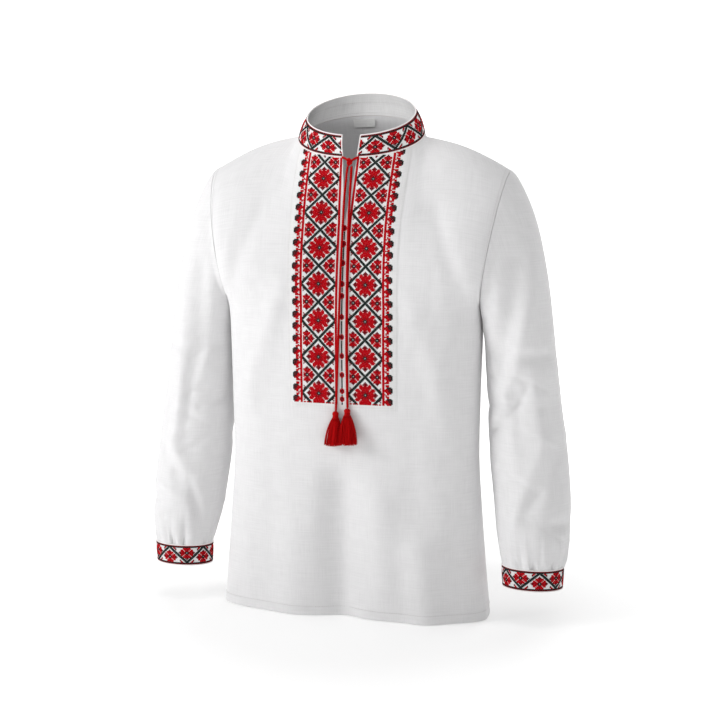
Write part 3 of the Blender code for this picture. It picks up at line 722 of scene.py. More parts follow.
def sleeve(name, mirror, skin):
    ring = [body_point(FRONT, 1.0, YOKE_ROWS * i / SIDE_TURNS) for i in range(SIDE_TURNS)]
    ring += [body_point(BACK, 1.0, YOKE_ROWS * (1 - i / SIDE_TURNS)) for i in range(SIDE_TURNS)]
    turns, (cap_rows, arm_rows) = len(ring), SLEEVE_ROWS
    cap_end, low_end = SLEEVE[0][0], SLEEVE[-1][0]
    points = {}
    for row in range(cap_rows + arm_rows + 1):
        for number, edge in enumerate(ring):
            turn = number / turns
            if row <= cap_rows:
                part = row / cap_rows
                point = edge.lerp(sleeve_ring(cap_end, turn, mirror), part)
                outer = max(0.0, math.cos(2 * math.pi * turn))
                bulge = CAP_BULGE * math.sin(math.pi * part ** 0.75) * outer
                bulge += cap_crease(turn, part, mirror)
                point += Vector((bulge, 0.0, bulge * 0.6))
                point += armhole_across(1) * 2 * SEAM * (1 - part)
            else:
                part = 1.0 - (1.0 - (row - cap_rows) / arm_rows) ** 1.35
                point = sleeve_ring(cap_end + (low_end - cap_end) * part, turn, mirror)
            facing = min(1.0, 1.7 * max(0.0, math.sin(2 * math.pi * turn)), row / 6)
            point.y -= sleeve_line(point.x, point.z, mirror) * facing
            point.x *= mirror
            points[(row, number)] = point
    around = 2 * math.pi * (SLEEVE[2][3] + SLEEVE[2][4]) / 2

    def adjust(key, normal):
        from_top = abs(key[1] / turns * 2 - 1.0)
        return armhole_normal(normal, 1.0 - from_top, mirror) if key[0] == 0 else normal

    def place(key):
        return key[1] / turns * around, points[(key[0], key[1] % turns)].z

    faces = strip_faces(cap_rows + arm_rows, turns, True, mirror > 0)
    return cloth(name, points, faces, lambda key: WALL, place, skin, "linen", adjust,
                 turns=turns)


def cap_crease(turn, part, mirror):
    """Slight puckers of the set-in sleeve's head and a soft random unevenness over it."""
    angle = 2 * math.pi * turn
    fade = math.sin(math.pi * part)
    pucker = 0.0006 * math.cos(31 * angle + 2 * mirror) * max(0.0, 1 - part * 5) * min(1, part * 20)
    soft = Vector((2 * math.cos(angle), 2 * math.sin(angle), part * 3 + mirror * 3.0))
    return pucker + 0.0014 * noise.noise(soft) * fade


def strip_faces(rows, turns, closed, flipped):
    """Faces of a band of rows; in a closed one the last column meets the first."""
    faces = []
    for row in range(rows):
        for turn in range(turns):
            after = (turn + 1) % turns if closed else turn + 1
            face = [(row, turn), (row + 1, turn), (row + 1, after), (row, after)]
            faces.append(face[::-1] if flipped else face)
    return faces


CUFF_TURNS, CUFF_ROWS = 144, 10


def cuff_point(mirror, turn, part):
    """A point of the cuff; turn as on the sleeve, part 0 at the sleeve and 1 at the free edge."""
    angle = 2 * math.pi * turn
    lift = 0.0004 * math.sin(math.pi * part)
    half_width = SLEEVE[-1][3] - CUFF_TAPER * part + lift
    half_depth = SLEEVE[-1][4] - CUFF_TAPER * part + lift
    return Vector((mirror * (SLEEVE[-1][1] + half_width * math.cos(angle)),
                   SLEEVE[-1][2] - half_depth * math.sin(angle),
                   SLEEVE[-1][0] - SEAM - CUFF_HEIGHT * part))


def cuff(name, mirror, skin):
    points = {(row, turn): cuff_point(mirror, turn / CUFF_TURNS, row / CUFF_ROWS)
              for row in range(CUFF_ROWS + 1) for turn in range(CUFF_TURNS)}
    around = math.pi * (SLEEVE[-1][3] + SLEEVE[-1][4])
    faces = strip_faces(CUFF_ROWS, CUFF_TURNS, True, mirror > 0)
    return cloth(name, points, faces, lambda key: BAND_WALL,
                 lambda key: (key[1] / CUFF_TURNS * around, -key[0] / CUFF_ROWS * CUFF_HEIGHT),
                 skin, "embroidered_linen", turns=CUFF_TURNS)


COLLAR_TURNS, COLLAR_STEPS = 220, 14
COLLAR_LENGTH, COLLAR_HEIGHT = 0.50, 0.039


def collar(skin):
    points = {(row, turn): collar_point(row / COLLAR_STEPS, turn / COLLAR_TURNS)
              for row in range(COLLAR_STEPS + 1) for turn in range(COLLAR_TURNS + 1)}
    faces = strip_faces(COLLAR_STEPS, COLLAR_TURNS, False, False)
    return cloth("collar", points, faces, lambda key: BAND_WALL,
                 lambda key: (key[1] / COLLAR_TURNS * COLLAR_LENGTH,
                              key[0] / COLLAR_STEPS * COLLAR_HEIGHT),
                 skin, "embroidered_linen")


LABEL_WIDTH, LABEL_HEIGHT = 0.036, 0.012
LABEL_X = -0.013
LABEL_ROW = 0.12         # its upper edge, in rows of the back's grid
LABEL_ROW_HEIGHT = 0.030
LABEL_SPACE = 0.0024
LABEL_BEND = 0.0004


def label(skin):
    """A blank label that hangs inside the back, just under the collar's seam."""
    columns, rows = 16, 6
    points = {}
    for row in range(rows + 1):
        for column in range(columns + 1):
            across = LABEL_X + (column / columns - 0.5) * LABEL_WIDTH
            t = math.asin(across / NECK_HALF_WIDTH) * 2 / math.pi * NECK_U
            level = LABEL_ROW + row / rows * LABEL_HEIGHT / LABEL_ROW_HEIGHT
            point = body_point(BACK, t, level, False)
            away = WALL + LABEL_SPACE + LABEL_BEND * math.sin(math.pi * column / columns)
            points[(row, column)] = point - label_normal(t, level) * away
    faces = []
    for row in range(rows):
        for column in range(columns):
            faces.append([(row + 1, column), (row + 1, column + 1), (row, column + 1),
                          (row, column)])
    return cloth("label", points, faces, lambda key: LABEL_WALL,
                 lambda key: (key[1] / columns * LABEL_WIDTH, -key[0] / rows * LABEL_HEIGHT),
                 skin, "label_cloth")


def label_normal(t, level):
    across = body_point(BACK, t + 0.02, level, False) - body_point(BACK, t - 0.02, level, False)
    down = body_point(BACK, t, level + 0.02, False) - body_point(BACK, t, level, False)
    return across.cross(down).normalized()


# Threads, cords, knot and tassels
def add_tube(verts, faces, path, radii, sides):
    """Add a closed round tube along a path; radii is one radius or a list of one for each point."""
    if isinstance(radii, float):
        radii = [radii] * len(path)
    first = len(verts)
    aim = (path[1] - path[0]).normalized()
    upright = Vector((0, 0, 1)) if abs(aim.z) < 0.9 else Vector((1, 0, 0))
    turned = aim.cross(upright).normalized()
    for index, point in enumerate(path):
        before, after = path[max(index - 1, 0)], path[min(index + 1, len(path) - 1)]
        aim = (after - before).normalized()
        turned = (turned - aim * turned.dot(aim)).normalized()
        other = aim.cross(turned)
        for side in range(sides):
            angle = 2 * math.pi * side / sides
            away = turned * math.cos(angle) + other * math.sin(angle)
            verts.append(point + away * radii[index])
    for index in range(len(path) - 1):
        low, high = first + index * sides, first + (index + 1) * sides
        for side in range(sides):
            after = (side + 1) % sides
            faces.append((low + side, low + after, high + after, high + side))
    faces.append(tuple(first + side for side in reversed(range(sides))))
    last = first + (len(path) - 1) * sides
    faces.append(tuple(last + side for side in range(sides)))


def tube_mesh(name, verts, faces):
    mesh = bpy.data.meshes.new(name)
    mesh.from_pydata([tuple(v) for v in verts], [], faces)
    mesh.polygons.foreach_set("use_smooth", [True] * len(mesh.polygons))
    mesh.update()
    return mesh


def lengths_along(route):
    """The length from a route's start to each of its points."""
    lengths = [0.0]
    for before, after in zip(route, route[1:]):
        lengths.append(lengths[-1] + (after - before).length)
    return lengths


def spread_path(route, step):
    """Evenly spaced points along a route, and the route's length."""
    lengths = lengths_along(route)
    count = max(2, int(lengths[-1] / step))
    points, piece = [], 0
    for index in range(count + 1):
        at = lengths[-1] * index / count
        while piece < len(route) - 2 and lengths[piece + 1] < at:
            piece += 1
        share = (at - lengths[piece]) / (lengths[piece + 1] - lengths[piece])
        points.append(route[piece].lerp(route[piece + 1], share))
    return points, lengths[-1]


PLY_RADIUS = 0.00130
PLY_TWIST = 0.0060       # length of one full turn of the two plies
STEPS_A_TURN = 9


def add_twisted(verts, faces, route):
    """Two plies wound round each other along a route."""
    points, total = spread_path(route, PLY_TWIST / STEPS_A_TURN)
    aim = (points[1] - points[0]).normalized()
    turned = aim.cross(Vector((0, 1, 0.1))).normalized()
    plies = ([], [])
    for index, point in enumerate(points):
        before, after = points[max(index - 1, 0)], points[min(index + 1, len(points) - 1)]
        aim = (after - before).normalized()
        turned = (turned - aim * turned.dot(aim)).normalized()
        other = aim.cross(turned)
        angle = 2 * math.pi * total * index / (len(points) - 1) / PLY_TWIST
        away = (turned * math.cos(angle) + other * math.sin(angle)) * (CORD_RADIUS - PLY_RADIUS)
        plies[0].append(point + away)
        plies[1].append(point - away)
    for path in plies:
        add_tube(verts, faces, path, PLY_RADIUS, 6)


def front_depth(tree, x, z):
    """Depth of the front's outer face at x and z, or of its centre line over the open slit."""
    hit = tree.ray_cast(Vector((x, -1.0, z)), Vector((0.0, 1.0, 0.0)))[0]
    centre = along(TORSO, 2, z)
    if hit is None or hit.y > centre + 0.02:
        return centre
    return hit.y


TIE_STEPS = 40


def tie_route(side, tree):
    """The middle line of a tie, just off the panel."""
    table = TIE_ROUTES[side]
    over_panel = SEAM + PANEL_WALL + CORD_RADIUS + 2 * SEAM
    route = []
    for index in range(TIE_STEPS + 1):
        z = table[0][0] + (table[-1][0] - table[0][0]) * index / TIE_STEPS
        x = along(table, 1, z)
        route.append(Vector((x, front_depth(tree, x, z) - over_panel, z)))
    return smoothed(route, 3)


def tie(side, tree, skin, tassel_piece):
    route = tie_route(side, tree)
    verts, faces = [], []
    add_twisted(verts, faces, route)
    made = keep("tie_" + side, tube_mesh("tie_" + side, verts, faces), skin, "red_thread",
                "tie_" + side)
    total = sum((b - a).length for a, b in zip(route, route[1:]))
    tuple(route[0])


KNOT = Vector((0.0016, -0.0690, -0.0475))
KNOT_ARM = 0.0135        # from the knot to each collar corner
KNOT_FORWARD = 0.0035
KNOT_THREAD = 0.00145
ARM_STEPS, KNOT_STEPS = 8, 61


def knot(skin):
    """An overhand knot with its two short arms to the collar's front corners."""
    verts, faces = [], []
    corner_y = NECK_Y - NECK_HALF_DEPTH - CORD_RADIUS - 3 * SEAM
    corner_z = NECK_Z - NECK_RISE + 0.0005
    for way in (-1, 1):
        arm = []
        for index in range(ARM_STEPS + 1):
            part = index / ARM_STEPS
            arm.append(Vector((KNOT.x + way * KNOT_ARM * (1 - part),
                               corner_y - KNOT_FORWARD * part,
                               corner_z + (KNOT.z - corner_z) * part ** 1.6)))
        add_twisted(verts, faces, arm)
    loop = []
    for index in range(KNOT_STEPS):
        turn = 2 * math.pi * index / KNOT_STEPS
        ring = 0.0023 + 0.0013 * math.cos(3 * turn)
        loop.append(KNOT + Vector((ring * math.cos(2 * turn), 0.0013 * math.sin(3 * turn) - 0.0004,
                                   ring * 1.5 * math.sin(2 * turn))))
    add_tube(verts, faces, [*loop, loop[0]], KNOT_THREAD, 8)
    return keep("tie_knot", tube_mesh("tie_knot", verts, faces), skin, "red_thread", "tie_knot")


HEAD_RADIUS, HEAD_HEIGHT = 0.0054, 0.0115
HEAD_PROFILE = (
    # below the top, radius
    (0.0, 0.0020), (0.0008, 0.0034), (0.0022, 0.0047), (0.0040, 0.0052),
    (0.0057, 0.0048), (0.0068, 0.0041), (0.0092, 0.0041), (HEAD_HEIGHT, 0.0056),
)
CORE_PROFILE = (
    # share of the skirt's height, radius of the solid core behind its strands
    (0.0, 0.0040), (0.15, 0.0048), (0.35, 0.0052), (0.6, 0.0056), (0.93, 0.0056),
)
WINDING_TURNS, WINDING_SIDES = 6, 16
WINDING_RADIUS, WINDING_THREAD = 0.0044, 0.00034
WINDING_TOP, WINDING_HEIGHT = 0.0066, 0.0032
STRANDS = 120
STRAND_ROOT = 0.0050     # half width of the strands' bundle under the head
STRAND_RADII = (0.00045, 0.00055, 0.00062, 0.00062, 0.00062, 0.00062, 0.00042)
SWAY, UNEVEN_END, SIDE_RISE = 0.0007, 0.0022, 0.0016
GOLDEN_ANGLE = 2.39996   # spaces the strands evenly over the skirt
SKIRT = {
    # side: (sideways lean, half width, half depth, distance of the axis from the cloth, low end)
    "left": (-0.0040, 0.0148, 0.0066, 0.0085, -0.4905),
    "right": (0.0040, 0.0156, 0.0070, 0.0150, -0.4865),
}


def tassel(side, tree, skin):
    """A rounded head, its winding, and loose strands that widen and lean as they fall."""
    end_z, end_x = TIE_ROUTES[side][-1]
    lean, half_width, half_depth, stand_off, bottom_z = SKIRT[side]
    top = end_z - SEAM - 0.0002
    cloth_y = front_depth(tree, end_x, top - HEAD_HEIGHT)
    head_y = min(tie_route(side, tree)[-1].y, cloth_y - HEAD_RADIUS - 3 * SEAM)
    forward = cloth_y - stand_off - head_y
    verts, faces = [], []
    head = [Vector((end_x, head_y, top - drop)) for drop, _ in HEAD_PROFILE]
    add_tube(verts, faces, head, [radius for _, radius in HEAD_PROFILE], 20)
    start_z = top - HEAD_HEIGHT + 0.0012
    core = [Vector((end_x + lean * part, head_y + forward * part,
                    start_z + (bottom_z - start_z) * part)) for part, _ in CORE_PROFILE]
    add_tube(verts, faces, core, [radius for _, radius in CORE_PROFILE], 16)
    winding, winding_steps = [], WINDING_TURNS * WINDING_SIDES
    for index in range(winding_steps + 1):
        angle = 2 * math.pi * index / WINDING_SIDES
        winding.append(Vector((end_x + WINDING_RADIUS * math.cos(angle),
                               head_y + WINDING_RADIUS * math.sin(angle),
                               top - WINDING_TOP - WINDING_HEIGHT * index / winding_steps)))
    add_tube(verts, faces, winding, WINDING_THREAD, 5)
    for number in range(STRANDS):
        angle = number * GOLDEN_ANGLE
        reach = math.sqrt((number + 0.5) / STRANDS)
        away = Vector((math.cos(angle), math.sin(angle))) * reach
        sway = Vector((random.uniform(-1, 1), random.uniform(-1, 1))) * SWAY
        low_z = bottom_z + random.uniform(0.0, UNEVEN_END) + SIDE_RISE * away.x ** 2
        path = []
        for step in range(len(STRAND_RADII)):
            part = step / (len(STRAND_RADII) - 1)
            spread = 1.0 - (1.0 - part) ** 2.3
            wave = math.sin(part * math.pi)
            wide = STRAND_ROOT + (half_width - HEAD_RADIUS) * spread
            deep = STRAND_ROOT + (half_depth - HEAD_RADIUS) * spread
            path.append(Vector((end_x + lean * part + away.x * wide + sway.x * wave,
                                head_y + forward * part + away.y * deep + sway.y * wave,
                                start_z + (low_z - start_z) * part)))
        add_tube(verts, faces, path, STRAND_RADII, 4)
    return keep("tassel_" + side, tube_mesh("tassel_" + side, verts, faces), skin, "red_thread",
                "tassel_" + side)


# Finishes
def new_skin(name, colour, roughness, sheen):
    made = bpy.data.materials.new(name)
    made.use_nodes = True
    shader = made.node_tree.nodes["Principled BSDF"]
    shader.inputs["Base Color"].default_value = (*colour, 1.0)
    shader.inputs["Roughness"].default_value = roughness
    shader.inputs["Sheen Weight"].default_value = sheen
    shader.inputs["Sheen Roughness"].default_value = 0.45
    shader.inputs["Specular IOR Level"].default_value = 0.12
    return made, made.node_tree.nodes, made.node_tree.links, shader


def math_node(nodes, links, kind, first, second=None):
    node = nodes.new("ShaderNodeMath")
    node.operation = kind
    for index, value in enumerate((first, second)):
        if value is None:
            continue
        if isinstance(value, (int, float)):
            node.inputs[index].default_value = value
        else:
            links.new(value, node.inputs[index])
    return node.outputs[0]


def noise_node(nodes, links, vector, scale, detail):
    node = nodes.new("ShaderNodeTexNoise")
    node.inputs["Scale"].default_value = scale
    node.inputs["Detail"].default_value = detail
    links.new(vector, node.inputs["Vector"])
    return node.outputs["Fac"]


def stretched(nodes, links, vector, scale):
    node = nodes.new("ShaderNodeMapping")
    node.inputs["Scale"].default_value = scale
    links.new(vector, node.inputs["Vector"])
    return node.outputs["Vector"]


def ramp_node(nodes, links, value, low, high, start=0.3, end=0.7):
    node = nodes.new("ShaderNodeValToRGB")
    node.color_ramp.elements[0].position = start
    node.color_ramp.elements[1].position = end
    node.color_ramp.elements[0].color = (*low, 1.0)
    node.color_ramp.elements[1].color = (*high, 1.0)
    links.new(value, node.inputs["Fac"])
    return node.outputs["Color"]


def bump(nodes, links, shader, height, distance, strength):
    node = nodes.new("ShaderNodeBump")
    node.inputs["Distance"].default_value = distance
    node.inputs["Strength"].default_value = strength
    links.new(height, node.inputs["Height"])
    links.new(node.outputs["Normal"], shader.inputs["Normal"])


CLOTH_ROUGHNESS, THREAD_ROUGHNESS, FLOOR_ROUGHNESS = 0.88, 0.70, 0.9
WARP_STRETCH, WEFT_STRETCH = (900, 26, 1), (22, 780, 1)
FIBRE_SCALE = 900.0


def woven_skin(name, low, high, thread, sheen, slub):
    """Plain weave: crossing threads, thicker slubs along both ways and a soft unevenness."""
    made, nodes, links, shader = new_skin(name, high, CLOTH_ROUGHNESS, sheen)

    def calc(kind, first, second=None):
        return math_node(nodes, links, kind, first, second)

    uv = nodes.new("ShaderNodeUVMap")
    uv.uv_map = "cloth"
    flat = uv.outputs["UV"]
    parts = nodes.new("ShaderNodeSeparateXYZ")
    links.new(flat, parts.inputs[0])
    turn = math.pi / thread
    over = calc("SINE", calc("MULTIPLY", parts.outputs[0], turn))
    under = calc("SINE", calc("MULTIPLY", parts.outputs[1], turn))
    weave = calc("MULTIPLY", over, under)
    warp = noise_node(nodes, links, stretched(nodes, links, flat, WARP_STRETCH), 1.0, 2.0)
    weft = noise_node(nodes, links, stretched(nodes, links, flat, WEFT_STRETCH), 1.0, 2.0)
    cloud = noise_node(nodes, links, flat, 55.0, 4.0)
    slubs = calc("MULTIPLY", calc("ADD", warp, weft), 0.5)
    tone = calc("ADD", calc("MULTIPLY", slubs, 0.78), calc("MULTIPLY", cloud, 0.22))
    links.new(ramp_node(nodes, links, tone, low, high, 0.36, 0.60), shader.inputs["Base Color"])
    height = calc("ADD", calc("MULTIPLY", weave, 0.30), calc("MULTIPLY", slubs, slub))
    bump(nodes, links, shader, height, 0.00030, 0.75)
    return made


def thread_skin(name, dark, light):
    """Twisted thread: fine uneven fibres and a very slight gloss."""
    made, nodes, links, shader = new_skin(name, light, THREAD_ROUGHNESS, 0.0)
    shader.inputs["Specular IOR Level"].default_value = 0.05
    spot = nodes.new("ShaderNodeTexCoord")
    fibres = noise_node(nodes, links, spot.outputs["Object"], FIBRE_SCALE, 3.0)
    links.new(ramp_node(nodes, links, fibres, dark, light), shader.inputs["Base Color"])
    bump(nodes, links, shader, fibres, 0.00012, 0.6)
    return made


# The stage: floor, lights and world
WHITE = (1.0, 1.0, 1.0, 1.0)
FLOOR_Z = HEM_Z - 0.0015
FLOOR_FRONT, FLOOR_BEND, FLOOR_SIDE, FLOOR_TOP = -9.0, 3.6, 6.0, 5.0
BEND_RADIUS, BEND_STEPS = 1.4, 12
FLOOR_GLOW = (("From Min", 0.30), ("From Max", 1.0), ("To Min", 0.40), ("To Max", 0.88))
LIT_PLACE = (0.0, 0.0, -0.38)
SOFT_LIGHTS = (
    # name, place, width, power
    ("key_light", (-2.6, -1.6, 0.9), 1.5, 60),
    ("fill_light", (2.4, -2.4, 0.3), 2.4, 6),
    ("top_light", (0.1, -0.2, 2.6), 2.0, 26),
    ("back_light", (0.6, 2.6, 0.9), 2.0, 16),
)
WORLD_LIGHT, WORLD_MORE_SEEN = 0.31, 0.75


def floor_skin():
    """A matt floor that glows more away from the shirt, so its shadow fades into white."""
    skin, nodes, links, shader = new_skin("pale_floor", (0.62, 0.62, 0.62), FLOOR_ROUGHNESS, 0.0)
    shader.inputs["Emission Color"].default_value = WHITE
    spot = nodes.new("ShaderNodeTexCoord")
    flat = stretched(nodes, links, spot.outputs["Object"], (1.0, 1.0, 0.0))
    away = nodes.new("ShaderNodeVectorMath")
    away.operation = "LENGTH"
    links.new(flat, away.inputs[0])
    glow = nodes.new("ShaderNodeMapRange")
    links.new(away.outputs["Value"], glow.inputs["Value"])
    for socket, value in FLOOR_GLOW:
        glow.inputs[socket].default_value = value
    links.new(glow.outputs["Result"], shader.inputs["Emission Strength"])
    return skin


def add_floor():
    """A pale seamless floor that curves up far behind the shirt."""
    profile = [(FLOOR_FRONT, FLOOR_Z), (FLOOR_BEND, FLOOR_Z)]
    for index in range(1, BEND_STEPS + 1):
        angle = math.pi / 2 * index / BEND_STEPS
        profile.append((FLOOR_BEND + BEND_RADIUS * math.sin(angle),
                        FLOOR_Z + BEND_RADIUS * (1 - math.cos(angle))))
    profile.append((FLOOR_BEND + BEND_RADIUS, FLOOR_TOP))
    verts, faces = [], []
    for y, z in profile:
        verts += [(-FLOOR_SIDE, y, z), (FLOOR_SIDE, y, z)]
    for index in range(len(profile) - 1):
        faces.append((2 * index, 2 * index + 1, 2 * index + 3, 2 * index + 2))
    mesh = bpy.data.meshes.new("floor")
    mesh.from_pydata(verts, [], faces)
    mesh.polygons.foreach_set("use_smooth", [True] * len(mesh.polygons))
    mesh.materials.append(floor_skin())
    floor = bpy.data.objects.new("floor", mesh)
    bpy.context.scene.collection.objects.link(floor)


def place_light(name, light, place, lit):
    lamp = bpy.data.objects.new(name, light)
    lamp.location = place
    lamp.rotation_euler = (Vector(lit) - Vector(place)).to_track_quat("-Z", "Y").to_euler()
    bpy.context.scene.collection.objects.link(lamp)


def add_lights():
    """Four soft lights round the shirt, and a narrow one on the inside of the collar's back."""
    for name, place, width, power in SOFT_LIGHTS:
        light = bpy.data.lights.new(name, "AREA")
        light.shape = "DISK"
        light.size = width
        light.energy = power
        place_light(name, light, place, LIT_PLACE)
    light = bpy.data.lights.new("neck_light", "SPOT")
    light.energy = 125
    light.spot_size = math.radians(5.5)
    light.spot_blend = 0.6
    light.shadow_soft_size = 0.15
    place_light("neck_light", light, (0.5, -1.9, 1.5), (0.0, 0.065, 0.030))


def add_world():
    """A soft white world, brighter where it is seen itself, behind the floor in other views."""
    world = bpy.data.worlds.new("world")
    world.use_nodes = True
    nodes, links = world.node_tree.nodes, world.node_tree.links
    sky = nodes["Background"]
    sky.inputs["Color"].default_value = WHITE
    seen = nodes.new("ShaderNodeLightPath").outputs["Is Camera Ray"]
    more = math_node(nodes, links, "MULTIPLY", seen, WORLD_MORE_SEEN)
    links.new(math_node(nodes, links, "ADD", more, WORLD_LIGHT), sky.inputs["Strength"])
    bpy.context.scene.world = world
    bpy.context.scene.view_settings.view_transform = "Standard"


def face_tree(*items):
    verts, faces = [], []
    for item in items:
        first = len(verts)
        verts += [vertex.co.copy() for vertex in item.data.vertices]
        faces += [[first + i for i in face.vertices] for face in item.data.polygons]
    return BVHTree.FromPolygons(verts, faces)


# Cross-stitch, from a chart that is worked out by rule: lattice, rosettes, borders and buds
RED, BURGUNDY, DARK = 0, 1, 2
CELL = 0.00179
PITCH, HALF_PITCH = 32, 16
LINE_END = 17            # outer column of a red line
OUTER_COLUMN = 25        # last column of the buds
CROSSINGS = (-0.0475, -0.0977, -0.1510, -0.2060, -0.2625, -0.3200, -0.3780, -0.4360)
EMBROIDERY_BOTTOM = -0.4246
BUD = (
    "..DDDD.",
    ".RBDBDD",
    "RRRBDBD",
    "RRRBBDD",
    ".RRRBBD",
    "..RRRB.",
)
OVAL = (
    ".RR.",
    "RBBR",
    "RBBR",
    "RBBR",
    ".RR.",
)
OVAL_LEVELS = (-0.149, -0.173, -0.2025, -0.2347, -0.2532, -0.2858, -0.317, -0.347, -0.377,
               -0.4027, -0.4154)
LETTERS = {"R": RED, "B": BURGUNDY, "D": DARK}
THIN_LINE_TOP = -0.156
SMALL, LARGE = 1, 2
ROSETTES = {
    # size: (far and near together, width of a petal, length of its stem, end of its tip)
    SMALL: (8, 3, 4, 7),
    LARGE: (13, 5, 7, 11),
}


def rosette(x, y, size):
    """Thread at a distance of x and y cells from a rosette's centre."""
    far, near = max(x, y), min(x, y)
    reach, petal, stem, tip = ROSETTES[size]
    if far == 0:
        return None
    if far == 1:
        return DARK
    if near == 0:
        return BURGUNDY if far in (2, 3) or stem < far <= tip else RED if far <= stem else None
    if near == 1 and far <= stem + 1:
        return RED
    if near == far and far <= petal - 2:
        return BURGUNDY
    if near <= petal and near < far <= near + petal and far + near <= reach:
        return RED
    if near == 1 and stem + 2 <= far <= tip - 1:
        return BURGUNDY
    if near == 2 and far == tip - 2 and size == LARGE:
        return BURGUNDY
    return None


def strip_thread(i, j):
    """Thread of a strip's column and row; the red lines are two columns wide, from -16 and 16."""
    from_centre = abs(j % PITCH - HALF_PITCH)
    if HALF_PITCH <= abs(i) <= LINE_END:
        return RED
    if i > LINE_END:
        return bud_thread(i - LINE_END - 1, j)
    corner = abs(i) + from_centre
    if abs(corner - HALF_PITCH) <= 1:
        return DARK
    if corner < HALF_PITCH:
        return rosette(abs(i), from_centre, LARGE)
    from_line, level = HALF_PITCH - abs(i), HALF_PITCH - from_centre
    if (from_line, level) in ((2, 10), (3, 11), (2, 12)):
        return BURGUNDY
    if from_line < 2 or from_line + level > 13:
        return None
    return rosette(abs(from_line - 5), level, SMALL)


def bud_thread(out, j):
    """Thread of the buds, three to a pitch, and of the uneven lace between them and the line."""
    number = round(j * 3 / PITCH)
    level = 2 + j - round(number * PITCH / 3)
    if 0 <= level < len(BUD) and out < len(BUD[0]):
        return LETTERS.get(BUD[level][out])
    if out == 1:
        return RED if j % 3 else None
    if out == 0 and j % 5 == 2:
        return RED
    return RED if out in (2, 3) and level in (-2, -1, len(BUD), len(BUD) + 1) else None


def band_thread(column, level):
    """Thread of a collar or cuff band, whose zigzag runs between two borders."""
    if level in (-2, 17):
        return BURGUNDY
    if level in (-1, 16):
        return DARK
    across = column % PITCH
    low_x, high_x = min(across, PITCH - across), abs(across - HALF_PITCH)
    slope = HALF_PITCH - low_x
    if abs(level - slope) <= 1:
        return DARK
    if level < slope:
        return corner_tulip(low_x, level) if low_x > 9 else rosette(low_x, abs(level - 5), SMALL)
    if high_x > 9:
        return corner_tulip(high_x, 15 - level)
    return rosette(high_x, abs(level - 10), SMALL)


def corner_tulip(x, level):
    if (x, level) in ((11, 0), (12, 0), (11, 1)):
        return RED
    return BURGUNDY if (x, level) in ((10, 1), (10, 2)) else None


def row_z(j):
    """Height of a row's edge on the front, from the heights of the lattice's crossings."""
    at = j / PITCH
    low = max(0, min(len(CROSSINGS) - 2, math.floor(at)))
    return CROSSINGS[low] + (CROSSINGS[low + 1] - CROSSINGS[low]) * (at - low)


def strip_x(i, z):
    inner = 0.0090 + 0.42 * slit_half(z)
    outer = 0.0665 + 0.20 * slit_half(z)
    if i > 16.5:
        return outer + (i - 16.5) * CELL
    return inner + (i + 16.5) / 33 * (outer - inner)


def surface_spot(tree, x, z):
    hit = tree.ray_cast(Vector((x, -1.0, z)), Vector((0.0, 1.0, 0.0)))[0]
    return hit if hit is not None and hit.y < -0.030 else None


def panel_stitches(tree, way):
    cells, spots = [], {}

    def spot(i, j):
        if (i, j) not in spots:
            z = row_z(j)
            spots[(i, j)] = surface_spot(tree, way * strip_x(i - 0.5, z), z)
        return spots[(i, j)]

    for j in range(-16, 219):
        if row_z(j + 1) < EMBROIDERY_BOTTOM:
            break
        last = row_z(j + 2) < EMBROIDERY_BOTTOM
        for i in range(-LINE_END, OUTER_COLUMN + 1):
            thread = RED if last and i <= LINE_END and i % 3 else strip_thread(i, j)
            if thread is None:
                continue
            corners = [spot(i, j + 1), spot(i + 1, j + 1), spot(i, j), spot(i + 1, j)]
            if None not in corners:
                cells.append((corners if way > 0 else [corners[k] for k in (1, 0, 3, 2)], thread))
    return cells


def centre_stitches(tree):
    """The row of small ovals below the slit with a thin dark line between them."""
    cells = []

    def add(x, z, thread):
        corners = [surface_spot(tree, x + a * CELL, z + b * CELL)
                   for a, b in ((0, 0), (1, 0), (0, 1), (1, 1))]
        if None not in corners:
            cells.append((corners, thread))

    middle = 0.0004
    for level in OVAL_LEVELS:
        for row, line in enumerate(OVAL):
            for column, letter in enumerate(line):
                if letter in LETTERS:
                    add(middle + (column - 2) * CELL, level + (2 - row) * CELL - CELL / 2,
                        LETTERS[letter])
    z = THIN_LINE_TOP
    while z > EMBROIDERY_BOTTOM:
        if min(abs(z + CELL / 2 - level) for level in OVAL_LEVELS) > 3 * CELL:
            add(middle - CELL / 2, z, DARK)
        z -= CELL
    return cells


BAND_LOW, BAND_SHARE = 0.045, 0.91
BAND_LEVELS = 20


def band_stitches(place, columns, start):
    """Stitches of a band; place gives its point at a share around and a share of its height."""
    cells = []
    for column in range(columns):
        for number in range(BAND_LEVELS):
            thread = band_thread(column + start, number - 2)
            if thread is None:
                continue
            low = BAND_LOW + BAND_SHARE * number / BAND_LEVELS
            high = BAND_LOW + BAND_SHARE * (number + 1) / BAND_LEVELS
            left, right = column / columns, (column + 1) / columns
            cells.append(([place(left, low), place(right, low),
                           place(left, high), place(right, high)], thread))
    return cells


STITCH_HALF_WIDTH = 0.00066


